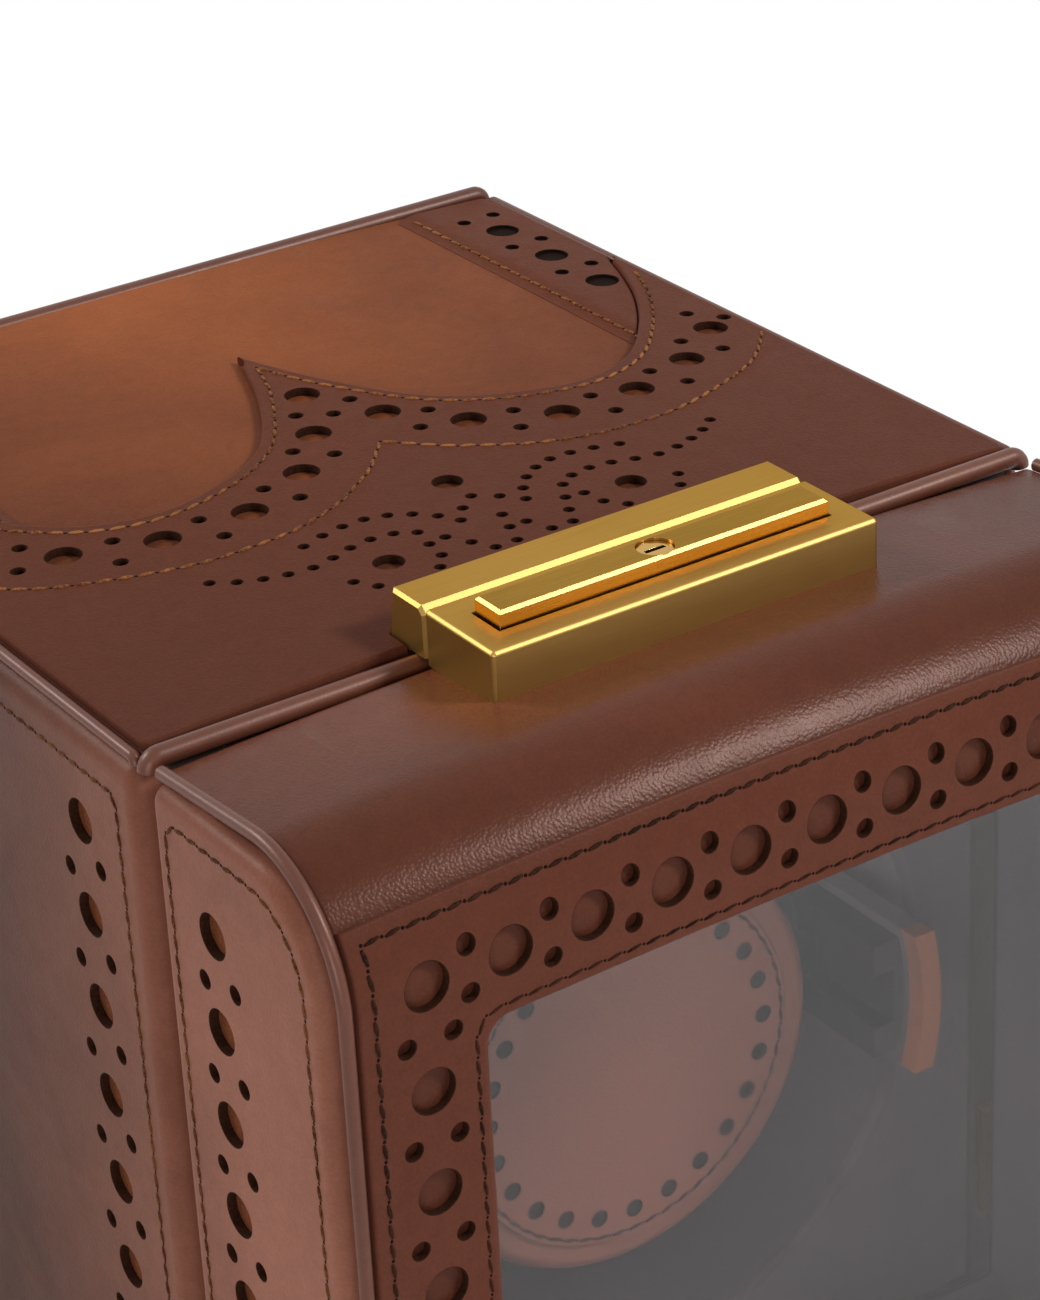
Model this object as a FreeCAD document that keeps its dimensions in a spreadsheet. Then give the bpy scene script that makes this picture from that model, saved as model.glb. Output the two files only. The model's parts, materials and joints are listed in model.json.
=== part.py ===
import FreeCAD, Part
import math
import os
import re
from types import SimpleNamespace

import Sketcher
from FreeCAD import Placement, Rotation, Vector

# Single watch winder: a leather-clad case that stands on four feet, with a glazed cover
# hinged on its right side. Millimetres; X to the right, Y to the back, Z up.
# The origin is on the table under the middle of the object. "Seam" is the plane where the
# case meets its cover, and "Crest" is the height of the piping round the case's top.

DRIVING = {
    "CaseWidth": 137.0,
    "BodyDepth": 132.0,
    "CoverDepth": 43.0,
    "BodyHeight": 140.0,
    "FootHeight": 4.0,
    "FootRadius": 6.0,
    "FootInset": 16.0,
    "SeamGap": 1.8,
    "ShellWall": 5.0,
    "PanelThick": 4.5,
    "PanelRound": 3.0,
    "CoverPanelThick": 2.7,
    "CoverPanelRound": 2.3,
    "CoverPanelInset": 2.0,
    "BackSkin": 2.0,
    "BottomSkin": 2.0,
    "PipingRadius": 1.4,
    "PipingBend": 1.5,
    "SidePipingRadius": 0.8,
    "SidePipingInset": 1.5,
    "SidePipingDrop": 2.0,
    "RidgeRadius": 0.9,
    "TopCrown": 1.5,
    "TopDrop": 0.2,
    "OverlayThick": 1.2,
    "WrapThick": 2.0,
    "CoverCorner": 16.0,
    "CoverCrown": 1.6,
    "CoverDrop": 0.2,
    "CoverSlope": 4.5,
    "CoverFootGap": 0.5,
    "SeamRound": 1.6,
    "WindowWidth": 97.0,
    "WindowHeight": 95.0,
    "WindowCorner": 3.0,
    "GlassThick": 2.0,
    "GlassLap": 2.0,
    "LiningThick": 1.0,
    "BigHole": 2.9,
    "BandHole": 2.45,
    "MedallionHole": 2.05,
    "FrameHoleInset": 12.0,
    "TopHoleDrop": 14.1,
    "AxisDrop": 2.5,
    "DrumRadius": 44.5,
    "DrumWall": 3.15,
    "DrumRunning": 4.0,
    "EarHalf": 11.0,
    "EarReach": 10.0,
    "TrimDepth": 3.0,
    "WellWall": 2.0,
    "FasciaFront": 1.2,
    "FasciaThick": 4.0,
    "WellDepth": 56.8,
    "DrumBaseThick": 3.0,
    "DrumRingDepth": 12.0,
    "DrumBackGap": 5.0,
    "ShaftRadius": 5.0,
    "ShaftEndRadius": 3.0,
    "ShaftClearance": 0.05,
    "BushWall": 4.0,
    "ChassisThick": 3.0,
    "SpacerLength": 11.0,
    "SpacerRadius": 4.0,
    "MotorPlateThick": 2.0,
    "ToothModule": 1.0,
    "DrumTeeth": 48.0,
    "MotorTeeth": 12.0,
    "GearWidth": 5.0,
    "MotorRadius": 12.0,
    "MotorLength": 28.0,
    "MotorShaft": 1.5,
    "ControlWidth": 70.0,
    "ControlHeight": 34.0,
    "ControlLift": 36.0,
    "KnobRadius": 8.0,
    "KnobAcross": -20.0,
    "ButtonAcross": 2.0,
    "InletAcross": 22.0,
    "SpindleRadius": 3.0,
    "ButtonRadius": 4.0,
    "BoardDepth": 14.0,
    "PostAcross": 36.0,
    "PostRise": 38.0,
    "PlateHalf": 44.0,
    "PlateRise": 46.0,
    "MotorScrewAcross": 8.5,
    "CuffInset": 13.5,
    "CuffDiscInset": 4.5,
    "CuffDiscThick": 0.6,
    "CuffFaceThick": 4.0,
    "CuffFaceBack": 6.0,
    "CapReach": 5.2,
    "PillowRise": 22.0,
    "PillowDepth": 35.0,
    "CapThick": 4.0,
    "TabGap": 2.15,
    "TabHalf": 4.0,
    "SlideClearance": 0.3,
    "LatchLength": 58.0,
    "BlockDepth": 14.93,
    "LatchTop": 7.06,
    "LatchSeat": 0.6,
    "LatchWall": 1.5,
    "LatchBevel": 0.45,
    "BarLength": 49.4,
    "BarWidth": 5.5,
    "BarProud": 2.25,
    "BarSlack": 0.3,
    "BarTravel": 1.2,
    "KeeperDepth": 7.2,
    "KeeperSlope": 1.1,
    "KeeperBevel": 1.0,
    "TongueHalf": 5.0,
    "TongueThick": 1.0,
    "TongueLift": 1.4,
    "TongueReach": 6.0,
    "LockRadius": 2.4,
    "LatchScrewAcross": 24.5,
    "KeeperScrewAcross": 20.0,
    "KeeperScrewBack": 3.4,
    "SpringAcross": 17.0,
    "SpringHeight": 3.6,
    "HingeInset": 1.5,
    "HingeHeight": 18.0,
    "HingeSpread": 42.0,
    "KnuckleRadius": 1.5,
    "PinRadius": 0.6,
    "LeafThick": 0.8,
    "LeafWidth": 5.5,
}

DERIVED = {
    "Seam": "(CoverDepth - BodyDepth) / 2",
    "Crest": "FootHeight + BodyHeight",
    "HalfWidth": "CaseWidth / 2",
    "CarcassHalf": "HalfWidth - PanelThick",
    "CarcassTop": "Crest - PipingRadius - PipingBend",
    "CarcassBack": "Seam + BodyDepth - BackSkin",
    "InnerHalf": "CarcassHalf - ShellWall",
    "InnerFloor": "FootHeight + BottomSkin + ShellWall",
    "InnerTop": "CarcassTop - ShellWall",
    "PipingLine": "HalfWidth - SidePipingInset",
    "TopHalf": "PipingLine - SidePipingRadius - 0.1",
    "CrownRadius": "(TopHalf ^ 2 + TopCrown ^ 2) / (2 * TopCrown)",
    "CoverBack": "Seam - SeamGap",
    "CoverHalf": "HalfWidth - CoverPanelThick",
    "WrapFront": "Seam - CoverDepth + OverlayThick",
    "CoverTop": "Crest - CoverDrop",
    "CoverFloor": "FootHeight + CoverFootGap",
    "FrameFront": "WrapFront + WrapThick",
    "FrameTop": "CoverTop - WrapThick - CoverRise",
    "CoverRise": "(CoverDepth - OverlayThick - SeamGap - CoverCorner) * tan(CoverSlope)",
    "FrameFloor": "CoverFloor + WrapThick",
    "FrameCorner": "CoverCorner - WrapThick",
    "AxisHeight": "FootHeight + BodyHeight / 2 - AxisDrop",
    "WindowMiddle": "FootHeight + BodyHeight / 2",
    "WellInside": "DrumRadius + DrumRunning",
    "FasciaBack": "Seam + FasciaFront + FasciaThick",
    "WellBack": "FasciaBack + WellDepth",
    "DrumBack": "WellBack - WellWall - DrumBackGap",
    "DrumFront": "Seam - EarReach",
    "DrumInside": "DrumRadius - DrumWall",
    "BushRadius": "ShaftRadius + BushWall",
    "ChassisBack": "WellBack + ChassisThick",
    "PlateFront": "ChassisBack + SpacerLength",
    "PlateBack": "PlateFront + MotorPlateThick",
    "GearFront": "ChassisBack + (SpacerLength - GearWidth) / 2",
    "GearSpacing": "ToothModule * (DrumTeeth + MotorTeeth) / 2",
    "MotorHeight": "AxisHeight - GearSpacing",
    "ControlHeightMiddle": "FootHeight + ControlLift",
    "ControlFace": "CarcassBack - ShellWall",
    "CuffFaceRadius": "DrumRadius - CuffInset",
    "CuffDiscRadius": "CuffFaceRadius - CuffDiscInset",
    "TabReach": "DrumInside - TabGap",
    "PillowHalf": "TabReach - CapThick - CapReach",
    "CuffFront": "Seam + CuffFaceBack - CuffFaceThick",
    "CuffBack": "Seam + CuffFaceBack",
    "BlockBack": "CoverBack - 0.1",
    "BlockFront": "BlockBack - BlockDepth",
    "BlockFloor": "Crest - LatchSeat",
    "BlockTop": "Crest + LatchTop",
    "BarMiddle": "(BlockBack + BlockFront) / 2",
    "KeeperFront": "CoverBack",
    "KeeperBack": "KeeperFront + KeeperDepth",
    "TongueFloor": "Crest + TongueLift",
    "TongueFront": "KeeperFront - TongueReach",
    "HingeLine": "HalfWidth - HingeInset",
    "HingeDepth": "Seam - SeamGap / 2",
}

SIZE_NAME = re.compile(r"\b([A-Z][A-Za-z]+)\b")
TURNS = {
    "X": Rotation(Vector(0, 1, 0), 90),
    "Y": Rotation(Vector(1, 0, 0), -90),
    "Z": Rotation(),
}

document = FreeCAD.newDocument("WatchWinder")
subparts = {}


def fill_sheet():
    """Writes the driving sizes and the sizes that follow from them, one row each."""
    sheet = document.addObject("Spreadsheet::Sheet", "Sizes")
    for row, (alias, number) in enumerate(DRIVING.items(), 1):
        sheet.set(f"A{row}", alias)
        sheet.set(f"B{row}", str(number))
        sheet.setAlias(f"B{row}", alias)
    for row, alias in enumerate(DERIVED, 1):
        sheet.set(f"D{row}", alias)
        sheet.setAlias(f"E{row}", alias)
    for row, formula in enumerate(DERIVED.values(), 1):
        sheet.set(f"E{row}", "=" + formula)
    document.recompute()
    return SimpleNamespace(**{alias: float(sheet.get(alias)) for alias in (*DRIVING, *DERIVED)})


size = fill_sheet()


def bind(piece, target, formula):
    """Ties one property of a piece to a formula over the sheet's names."""
    piece.setExpression(target, SIZE_NAME.sub(r"Sizes.\1", formula))


def subpart(label, piece):
    """Gives a finished piece its label and puts it on the list of sub-parts."""
    piece.Label = label
    subparts[label] = piece
    return piece


def solid(label, shape):
    """Sub-part whose shape is made here from the sheet's numbers."""
    piece = document.addObject("Part::Feature", label)
    piece.Shape = shape.removeSplitter()
    piece.Placement = Placement()
    return subpart(label, piece)


def solids(label, shapes):
    """Sub-part of separate alike solids made here from the sheet's numbers."""
    piece = document.addObject("Part::Feature", label)
    piece.Shape = Part.makeCompound([shape.removeSplitter() for shape in shapes])
    piece.Placement = Placement()
    return subpart(label, piece)


def both_sides(shape):
    """The shape and its mirror image across X = 0."""
    return [shape.mirror(Vector(), Vector(1, 0, 0)), shape]


def box(x, y, z, name="Block"):
    """Block between two corners; x, y and z are each a pair of formulas."""
    piece = document.addObject("Part::Box", name)
    for axis, side, (low, high) in zip("xyz", ("Length", "Width", "Height"), (x, y, z)):
        bind(piece, "Placement.Base." + axis, low)
        bind(piece, side, f"({high}) - ({low})")
    return piece


def rod(axis, centre, span, radius, name="Rod"):
    """Cylinder along X, Y or Z: centre is the two formulas across it, span its two ends."""
    piece = document.addObject("Part::Cylinder", name)
    piece.Placement = Placement(Vector(), TURNS[axis])
    across = [letter for letter in "xyz" if letter != axis.lower()]
    for letter, formula in zip(across, centre):
        bind(piece, "Placement.Base." + letter, formula)
    bind(piece, "Placement.Base." + axis.lower(), span[0])
    bind(piece, "Radius", radius)
    bind(piece, "Height", f"({span[1]}) - ({span[0]})")
    return piece


def fuse(*pieces, name="Joined"):
    """Union of pieces, or separate solids side by side where they don't touch."""
    piece = document.addObject("Part::MultiFuse", name)
    piece.Shapes = list(pieces)
    return piece


def common(*pieces, name="Shared"):
    """What all the pieces share."""
    piece = document.addObject("Part::MultiCommon", name)
    piece.Shapes = list(pieces)
    return piece


def cut(base, *tools, name="Trimmed"):
    """Base with every tool taken out of it."""
    piece = document.addObject("Part::Cut", name)
    piece.Base = base
    piece.Tool = tools[0] if len(tools) == 1 else fuse(*tools)
    return piece


def group(*pieces, name="Group"):
    """Separate alike solids kept as one sub-part."""
    piece = document.addObject("Part::Compound", name)
    piece.Links = list(pieces)
    return piece


class Bench:
    """One body made from sketches, pads, pockets and edge features."""

    def __init__(self, label):
        self.body = document.addObject("PartDesign::Body", label.title().replace("_", ""))
        self.label = label

    def drawing(self, plane, offset, outlines=(), circles=()):
        """Sketch on an origin plane, moved by offset along the plane's normal."""
        sketch = self.body.newObject("Sketcher::SketchObject", self.body.Name + "Sketch")
        roles = {item.Role: item for item in self.body.Origin.OriginFeatures}
        sketch.AttachmentSupport = [(roles[plane + "_Plane"], "")]
        sketch.MapMode = "FlatFace"
        bind(sketch, "AttachmentOffset.Base.z", offset)
        for outline in outlines:
            self.draw_outline(sketch, outline)
        for across, up, radius in circles:
            self.draw_circle(sketch, across, up, radius)
        return sketch

    def draw_outline(self, sketch, corners):
        """Closed outline of straight sides through corners that formulas place."""
        first = sketch.GeometryCount
        count = len(corners)
        for index in range(count):
            start = Vector(index, index * index, 0)
            end = Vector(index + 1, (index + 1) ** 2, 0)
            sketch.addGeometry(Part.LineSegment(start, end))
        for index in range(count):
            following = first + (index + 1) % count
            sketch.addConstraint(Sketcher.Constraint("Coincident", first + index, 2, following, 1))
        for index, corner in enumerate(corners):
            for direction, formula in zip(("DistanceX", "DistanceY"), corner):
                self.place(sketch, direction, first + index, 1, formula)

    def draw_circle(self, sketch, across, up, radius):
        """Circle whose centre and radius follow formulas."""
        index = sketch.GeometryCount
        sketch.addGeometry(Part.Circle(Vector(1, 1, 0), Vector(0, 0, 1), 1))
        for direction, formula in (("DistanceX", across), ("DistanceY", up)):
            self.place(sketch, direction, index, 3, formula)
        row = sketch.addConstraint(Sketcher.Constraint("Radius", index, 1.0))
        bind(sketch, f"Constraints[{row}]", radius)

    def place(self, sketch, direction, index, point, formula):
        """Fixes one coordinate of a point; a plain 0 puts it on the sketch's own axis."""
        if formula == "0":
            line = -2 if direction == "DistanceX" else -1
            sketch.addConstraint(Sketcher.Constraint("PointOnObject", index, point, line))
            return
        row = sketch.addConstraint(Sketcher.Constraint(direction, -1, 1, index, point, 1.0))
        bind(sketch, f"Constraints[{row}]", formula)

    def add(self, kind, sketch, length, reverse=False, middle=False):
        """Pad or Pocket of a sketch, to one side of it or evenly to both."""
        feature = self.body.newObject("PartDesign::" + kind, self.body.Name + kind)
        feature.Profile = sketch
        bind(feature, "Length", length)
        feature.Reversed = reverse
        if middle:
            feature.SideType = "Symmetric"
        self.body.Tip = feature
        return feature

    def edges(self, kind, amount, wanted):
        """Fillet or Chamfer on the edges of the shape so far that wanted picks."""
        document.recompute()
        base = self.body.Tip
        names = [
            f"Edge{number}"
            for number, edge in enumerate(base.Shape.Edges, 1)
            if wanted(edge.BoundBox)
        ]
        feature = self.body.newObject("PartDesign::" + kind, self.body.Name + kind)
        feature.Base = (base, names)
        bind(feature, "Radius" if kind == "Fillet" else "Size", amount)
        self.body.Tip = feature
        return feature

    def done(self):
        """Registers the body as a sub-part."""
        return subpart(self.label, self.body)


def rectangle(left, right, low, high):
    """Corner formulas of an upright rectangle."""
    return [(left, low), (right, low), (right, high), (left, high)]


def near(value, target):
    """True where two lengths agree closely enough to be the same face or edge."""
    return abs(value - target) < 0.01


def mirrored(points):
    """The points and their mirror images across X = 0, each once."""
    return points + [(-across, along) for across, along in points if across > 0.01]


def drills(axis, spots, radius, start, length):
    """Cylinders along an axis from start, one for each spot across it."""
    directions = {"X": Vector(1, 0, 0), "Y": Vector(0, 1, 0), "Z": Vector(0, 0, 1)}
    places = {
        "X": lambda spot: Vector(start, spot[0], spot[1]),
        "Y": lambda spot: Vector(spot[0], start, spot[1]),
        "Z": lambda spot: Vector(spot[0], spot[1], start),
    }
    return [Part.makeCylinder(radius, length, places[axis](spot), directions[axis])
            for spot in spots]


def tube(path, radius):
    """Round bar swept along a smooth path of lines and arcs."""
    wire = Part.Wire(path)
    first = wire.Edges[0]
    start = first.valueAt(first.FirstParameter)
    heading = first.tangentAt(first.FirstParameter)
    circle = Part.Wire([Part.makeCircle(radius, start, heading)])
    return wire.makePipeShell([circle], True, True)


def through(first, second, third):
    """Arc through three places."""
    return Part.Arc(first, second, third).toShape()


def straight(first, second):
    """Straight edge between two places."""
    return Part.LineSegment(first, second).toShape()


def build_carcass():
    """Wooden box, open at the front, with the control opening in its back wall."""
    bench = Bench("carcass")
    outside = rectangle("-CarcassHalf", "CarcassHalf", "FootHeight + BottomSkin", "CarcassTop")
    inside = rectangle("-InnerHalf", "InnerHalf", "InnerFloor", "InnerTop")
    opening = rectangle("-ControlWidth / 2", "ControlWidth / 2",
                        "ControlHeightMiddle - ControlHeight / 2",
                        "ControlHeightMiddle + ControlHeight / 2")
    depth = "CarcassBack - Seam"
    bench.add("Pad", bench.drawing("XZ", "-Seam", [outside]), depth, reverse=True)
    bench.add("Pocket", bench.drawing("XZ", "-Seam", [inside]), depth + " - ShellWall")
    bench.add("Pocket", bench.drawing("XZ", "-CarcassBack", [opening]), "ShellWall * 3", middle=True)
    return bench.done()


def build_skins():
    """Leather on the case: crowned top, back and underside."""
    crown = rod("Y", ("0", "Crest - TopDrop - CrownRadius"),
                ("Seam + SeamGap", "CarcassBack - PipingRadius"), "CrownRadius")
    blank = box(("-TopHalf", "TopHalf"), ("Seam + SeamGap", "CarcassBack - PipingRadius"),
                ("CarcassTop", "Crest + OverlayThick"))
    subpart("top_panel", common(blank, crown))
    opening = box(("-ControlWidth / 2", "ControlWidth / 2"),
                  ("CarcassBack - BackSkin", "CarcassBack + BackSkin * 2"),
                  ("ControlHeightMiddle - ControlHeight / 2",
                   "ControlHeightMiddle + ControlHeight / 2"))
    sheet = box(("-CarcassHalf", "CarcassHalf"), ("CarcassBack", "CarcassBack + BackSkin"),
                ("FootHeight + BottomSkin", "CarcassTop"))
    subpart("back_panel", cut(sheet, opening))
    subpart("bottom_panel", box(("-CarcassHalf", "CarcassHalf"), ("Seam", "CarcassBack + BackSkin"),
                                ("FootHeight", "FootHeight + BottomSkin")))


def crowned_shell(lift, thick, half):
    """Layer of even thickness on the crowned top, to half its width each side."""
    length = size.BodyDepth
    middle = Vector(0, size.Seam, size.Crest - size.TopDrop - size.CrownRadius)
    outer = Part.makeCylinder(size.CrownRadius + lift + thick, length, middle, Vector(0, 1, 0))
    inner = Part.makeCylinder(size.CrownRadius + lift, length, middle, Vector(0, 1, 0))
    block = Part.makeBox(2 * half, length, size.PipingRadius * 4,
                         Vector(-half, size.Seam, size.Crest - size.PipingRadius * 2))
    return block.common(outer).cut(inner)


# The top's pattern: places across the middle line and back from the seam.
WING_EDGE = [(0, 93), (4.9, 79.4), (11.1, 67.5), (16.3, 61.6), (24.2, 57.2), (34, 55.1), (43.6, 58.3),
             (51.9, 66.8), (58.4, 76.5), (62.8, 86), (65.7, 94)]
BAND_MIDDLE = [(0, 75), (5.6, 62.7), (13.4, 53), (24.9, 47.1), (37.8, 47.5), (49.9, 52.2), (59.8, 59.9)]
MEDALLION_BIG = [(0, 37.7), (18.9, 22.4)]
STRIP_EDGE = 48.6


def on_top(points):
    """Pattern places in the object's frame, spread with the width of the top."""
    spread = size.TopHalf / WING_EDGE[-1][0]
    return [(across * spread, along + size.Seam) for across, along in points]


def wing_prism(top):
    """Upright block under the double-curved outline of the front overlay."""
    right = [Vector(across, along, 0) for across, along in on_top(WING_EDGE)]
    front = size.Seam + size.SeamGap
    edges = []
    for side in (1, -1):
        curve = Part.BSplineCurve()
        curve.interpolate([Vector(side * point.x, point.y, 0) for point in right])
        end = Vector(side * right[-1].x, right[-1].y, 0)
        edges += [curve.toShape(), straight(end, Vector(end.x, front, 0))]
    edges.append(straight(Vector(right[-1].x, front, 0), Vector(-right[-1].x, front, 0)))
    outline = Part.Wire(Part.__sortEdges__(edges))
    prism = Part.Face(outline).extrude(Vector(0, 0, top))
    return prism


def build_top_overlays():
    """Winged front overlay with its punched band and medallion, and two side strips."""
    half = size.TopHalf - 0.2
    reach = size.Crest * 2
    shell = crowned_shell(0, size.OverlayThick, half)
    wing = wing_prism(reach)
    notch_half = size.LatchLength / 2 + 0.1
    notch = Part.makeBox(2 * notch_half, size.KeeperBack + size.KeeperSlope + 0.1 - size.Seam, reach,
                         Vector(-notch_half, size.Seam, 0))
    punches = drills("Z", on_top(mirrored(BAND_MIDDLE)), size.BandHole, 0, reach)
    punches += drills("Z", on_top(mirrored(MEDALLION_BIG)), size.MedallionHole, 0, reach)
    solid("wing_overlay", shell.common(wing).cut([notch] + punches))
    edge = STRIP_EDGE * size.TopHalf / WING_EDGE[-1][0]
    end = size.CarcassBack - size.PipingRadius - 1
    start = size.Seam + WING_EDGE[5][1] - size.OverlayThick
    strip = Part.makeBox(half - edge, end - start, reach, Vector(edge, start, 0))
    gap = wing.copy()
    gap.translate(Vector(0, 0.3, 0))
    solids("side_strips", both_sides(shell.common(strip).cut(gap)))


def bead(start, end, radius):
    """Piping between the tops of two stubs, with a quarter bend at each end."""
    bend = start.z - size.CarcassTop
    diagonal = bend * (1 - math.sqrt(0.5))
    heading = (end - start).normalize()
    down = Vector(0, 0, -1)
    first = start + heading * bend
    last = end - heading * bend
    path = [
        through(start + down * bend, start + (heading + down) * diagonal, first),
        straight(first, last),
        through(last, end - heading * diagonal + down * diagonal, end + down * bend),
    ]
    return tube(path, radius)


def build_piping():
    """Beads sewn round the top of the case, each turned down at its ends."""
    height = size.Crest - size.PipingRadius
    line = size.PipingLine - 0.4
    front = size.Seam + 0.2
    back = size.CarcassBack + 0.2
    solid("piping_front", bead(Vector(-line, front, height), Vector(line, front, height),
                               size.PipingRadius))
    solid("piping_back", bead(Vector(-line, back, height), Vector(line, back, height),
                              size.PipingRadius))
    gap = size.PipingRadius + size.SidePipingRadius + 0.1
    side_height = size.Crest - size.SidePipingDrop
    side_bead = bead(Vector(size.PipingLine, front + gap, side_height),
                     Vector(size.PipingLine, back - gap, side_height), size.SidePipingRadius)
    solids("piping_sides", both_sides(side_bead))


def cover_line(grow, crown, reach):
    """Cover's outline in the YZ plane from its back edge over the top and down to the floor.

    Returns the edges at X = reach, grown outwards by grow, with the top raised by crown.
    """
    slope = math.radians(size.CoverSlope)
    radius = size.CoverCorner + grow
    depth = size.WrapFront + size.CoverCorner
    upper = size.CoverTop + crown - size.CoverCorner
    lower = size.CoverFloor + size.CoverCorner
    turn = size.SeamRound

    def place(along, height):
        return Vector(reach, along, height)

    def on_arc(centre, angle):
        return place(depth + radius * math.cos(angle), centre + radius * math.sin(angle))

    tangent = math.pi / 2 - slope
    leaving = on_arc(upper, tangent)
    corner_along = size.CoverBack - turn
    line_there = leaving.z - (corner_along - leaving.y) * math.tan(slope)
    corner_height = line_there - turn / math.cos(slope)

    def on_turn(angle):
        return place(corner_along + turn * math.cos(angle), corner_height + turn * math.sin(angle))

    front = math.pi
    return [
        through(on_turn(0), on_turn(tangent / 2), on_turn(tangent)),
        straight(on_turn(tangent), leaving),
        through(leaving, on_arc(upper, (tangent + front) / 2), on_arc(upper, front)),
        straight(on_arc(upper, front), on_arc(lower, front)),
        through(on_arc(lower, front), on_arc(lower, front * 1.25), on_arc(lower, front * 1.5)),
        straight(on_arc(lower, front * 1.5), place(size.CoverBack, lower - radius)),
    ]


def closed(edges):
    """Wire of the edges, closed by a straight one."""
    start = edges[0].valueAt(edges[0].FirstParameter)
    last = edges[-1]
    end = last.valueAt(last.LastParameter)
    return Part.Wire(edges + [straight(end, start)])


def cover_block(grow, half):
    """Whole cover as a block, crowned across its width."""
    wires = []
    for reach in (-half, 0, half):
        crown = size.CoverCrown * (1 - (reach / size.CoverHalf) ** 2)
        wires.append(closed(cover_line(grow, crown, reach)))
    return Part.makeLoft(wires, True, False)


def window_block(margin, front, back):
    """Upright block with rounded corners that passes through the window."""
    width = size.WindowWidth + 2 * margin
    height = size.WindowHeight + 2 * margin
    corner = Vector(-width / 2, front, size.WindowMiddle - height / 2)
    block = Part.makeBox(width, back - front, height, corner)
    upright = [edge for edge in block.Edges if edge.BoundBox.YLength > (back - front) / 2]
    return block.makeFillet(size.WindowCorner, upright)


def frame_profile(front, top, floor, radius, back):
    """Closed side view of a box-like part with round front corners, at X = 0."""
    diagonal = radius * (1 - math.sqrt(0.5))
    rows = [(back, top), (front + radius, top), (front + diagonal, top - diagonal),
            (front, top - radius), (front, floor + radius), (front + diagonal, floor + diagonal),
            (front + radius, floor), (back, floor)]
    points = [Vector(0, along, height) for along, height in rows]
    return Part.Wire([
        straight(points[0], points[1]),
        through(points[1], points[2], points[3]),
        straight(points[3], points[4]),
        through(points[4], points[5], points[6]),
        straight(points[6], points[7]),
        straight(points[7], points[0]),
    ])


def across(wire, left, right):
    """Solid between two planes of X with the wire's section."""
    block = Part.Face(wire).extrude(Vector(right - left, 0, 0))
    block.translate(Vector(left, 0, 0))
    return block


def frame_core(extra=0.0):
    """Block that the wooden cover frame fills."""
    wire = frame_profile(size.FrameFront, size.FrameTop, size.FrameFloor, size.FrameCorner,
                         size.CoverBack + extra)
    return across(wire, -size.CoverHalf - extra, size.CoverHalf + extra)


def hinge_reliefs():
    """Round clearance for the hinge knuckles in the cover's back right edge."""
    radius = size.KnuckleRadius + 0.25
    reliefs = []
    for height in hinge_heights():
        reliefs.append(Part.makeCylinder(radius, size.HingeHeight + 0.6,
                                         Vector(size.HingeLine, size.HingeDepth,
                                                height - size.HingeHeight / 2 - 0.3)))
    return reliefs


def hinge_heights():
    """Middles of the two hinges."""
    return (size.WindowMiddle - size.HingeSpread, size.WindowMiddle + size.HingeSpread)


def latch_recess():
    """Flat-bottomed seat for the latch block in the cover's leather."""
    return Part.makeBox(size.LatchLength + 0.1, size.BlockDepth + 1, size.PipingRadius * 6,
                        Vector(-size.LatchLength / 2 - 0.05, size.BlockFront - 0.05, size.BlockFloor))


def build_cover_shell():
    """Wooden cover frame, glass, lining, leather wrap and perforated front overlay."""
    wall = size.ShellWall
    hollow = Part.makeBox(2 * (size.CoverHalf - wall), size.CoverBack - size.FrameFront - wall,
                          size.FrameTop - size.FrameFloor - 2 * (wall + 1),
                          Vector(-size.CoverHalf + wall, size.FrameFront + wall,
                                 size.FrameFloor + wall + 1))
    rebate = window_block(size.GlassLap + 0.1, size.FrameFront, size.FrameFront + size.GlassThick)
    through_window = window_block(0, size.FrameFront - 5, size.FrameFront + wall + 5)
    frame = frame_core().cut([hollow, rebate, through_window] + hinge_reliefs() + latch_screw_bores())
    solid("cover_frame", frame)
    solid("window_glass", window_block(size.GlassLap, size.FrameFront,
                                       size.FrameFront + size.GlassThick))
    gap = 0.1
    thick = size.LiningThick
    outer = Part.makeBox(2 * (size.CoverHalf - wall - gap), hollow.BoundBox.YLength - 2,
                         hollow.BoundBox.ZLength - 2 * gap,
                         Vector(-size.CoverHalf + wall + gap, hollow.BoundBox.YMin,
                                hollow.BoundBox.ZMin + gap))
    inner = Part.makeBox(outer.BoundBox.XLength - 2 * thick, outer.BoundBox.YLength + 2,
                         outer.BoundBox.ZLength - 2 * thick,
                         Vector(outer.BoundBox.XMin + thick, outer.BoundBox.YMin - 1,
                                outer.BoundBox.ZMin + thick))
    solid("cover_lining", outer.cut(inner))
    leather = cover_block(0, size.CoverHalf)
    skin_window = window_block(-0.2, size.FrameFront - 10, size.FrameFront + 10)
    wrap = leather.cut([frame_core(0.5), skin_window, latch_recess()] + hinge_reliefs()
                       + latch_screw_bores())
    solid("cover_wrap", wrap)
    solid("front_overlay", front_overlay(leather))


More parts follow.
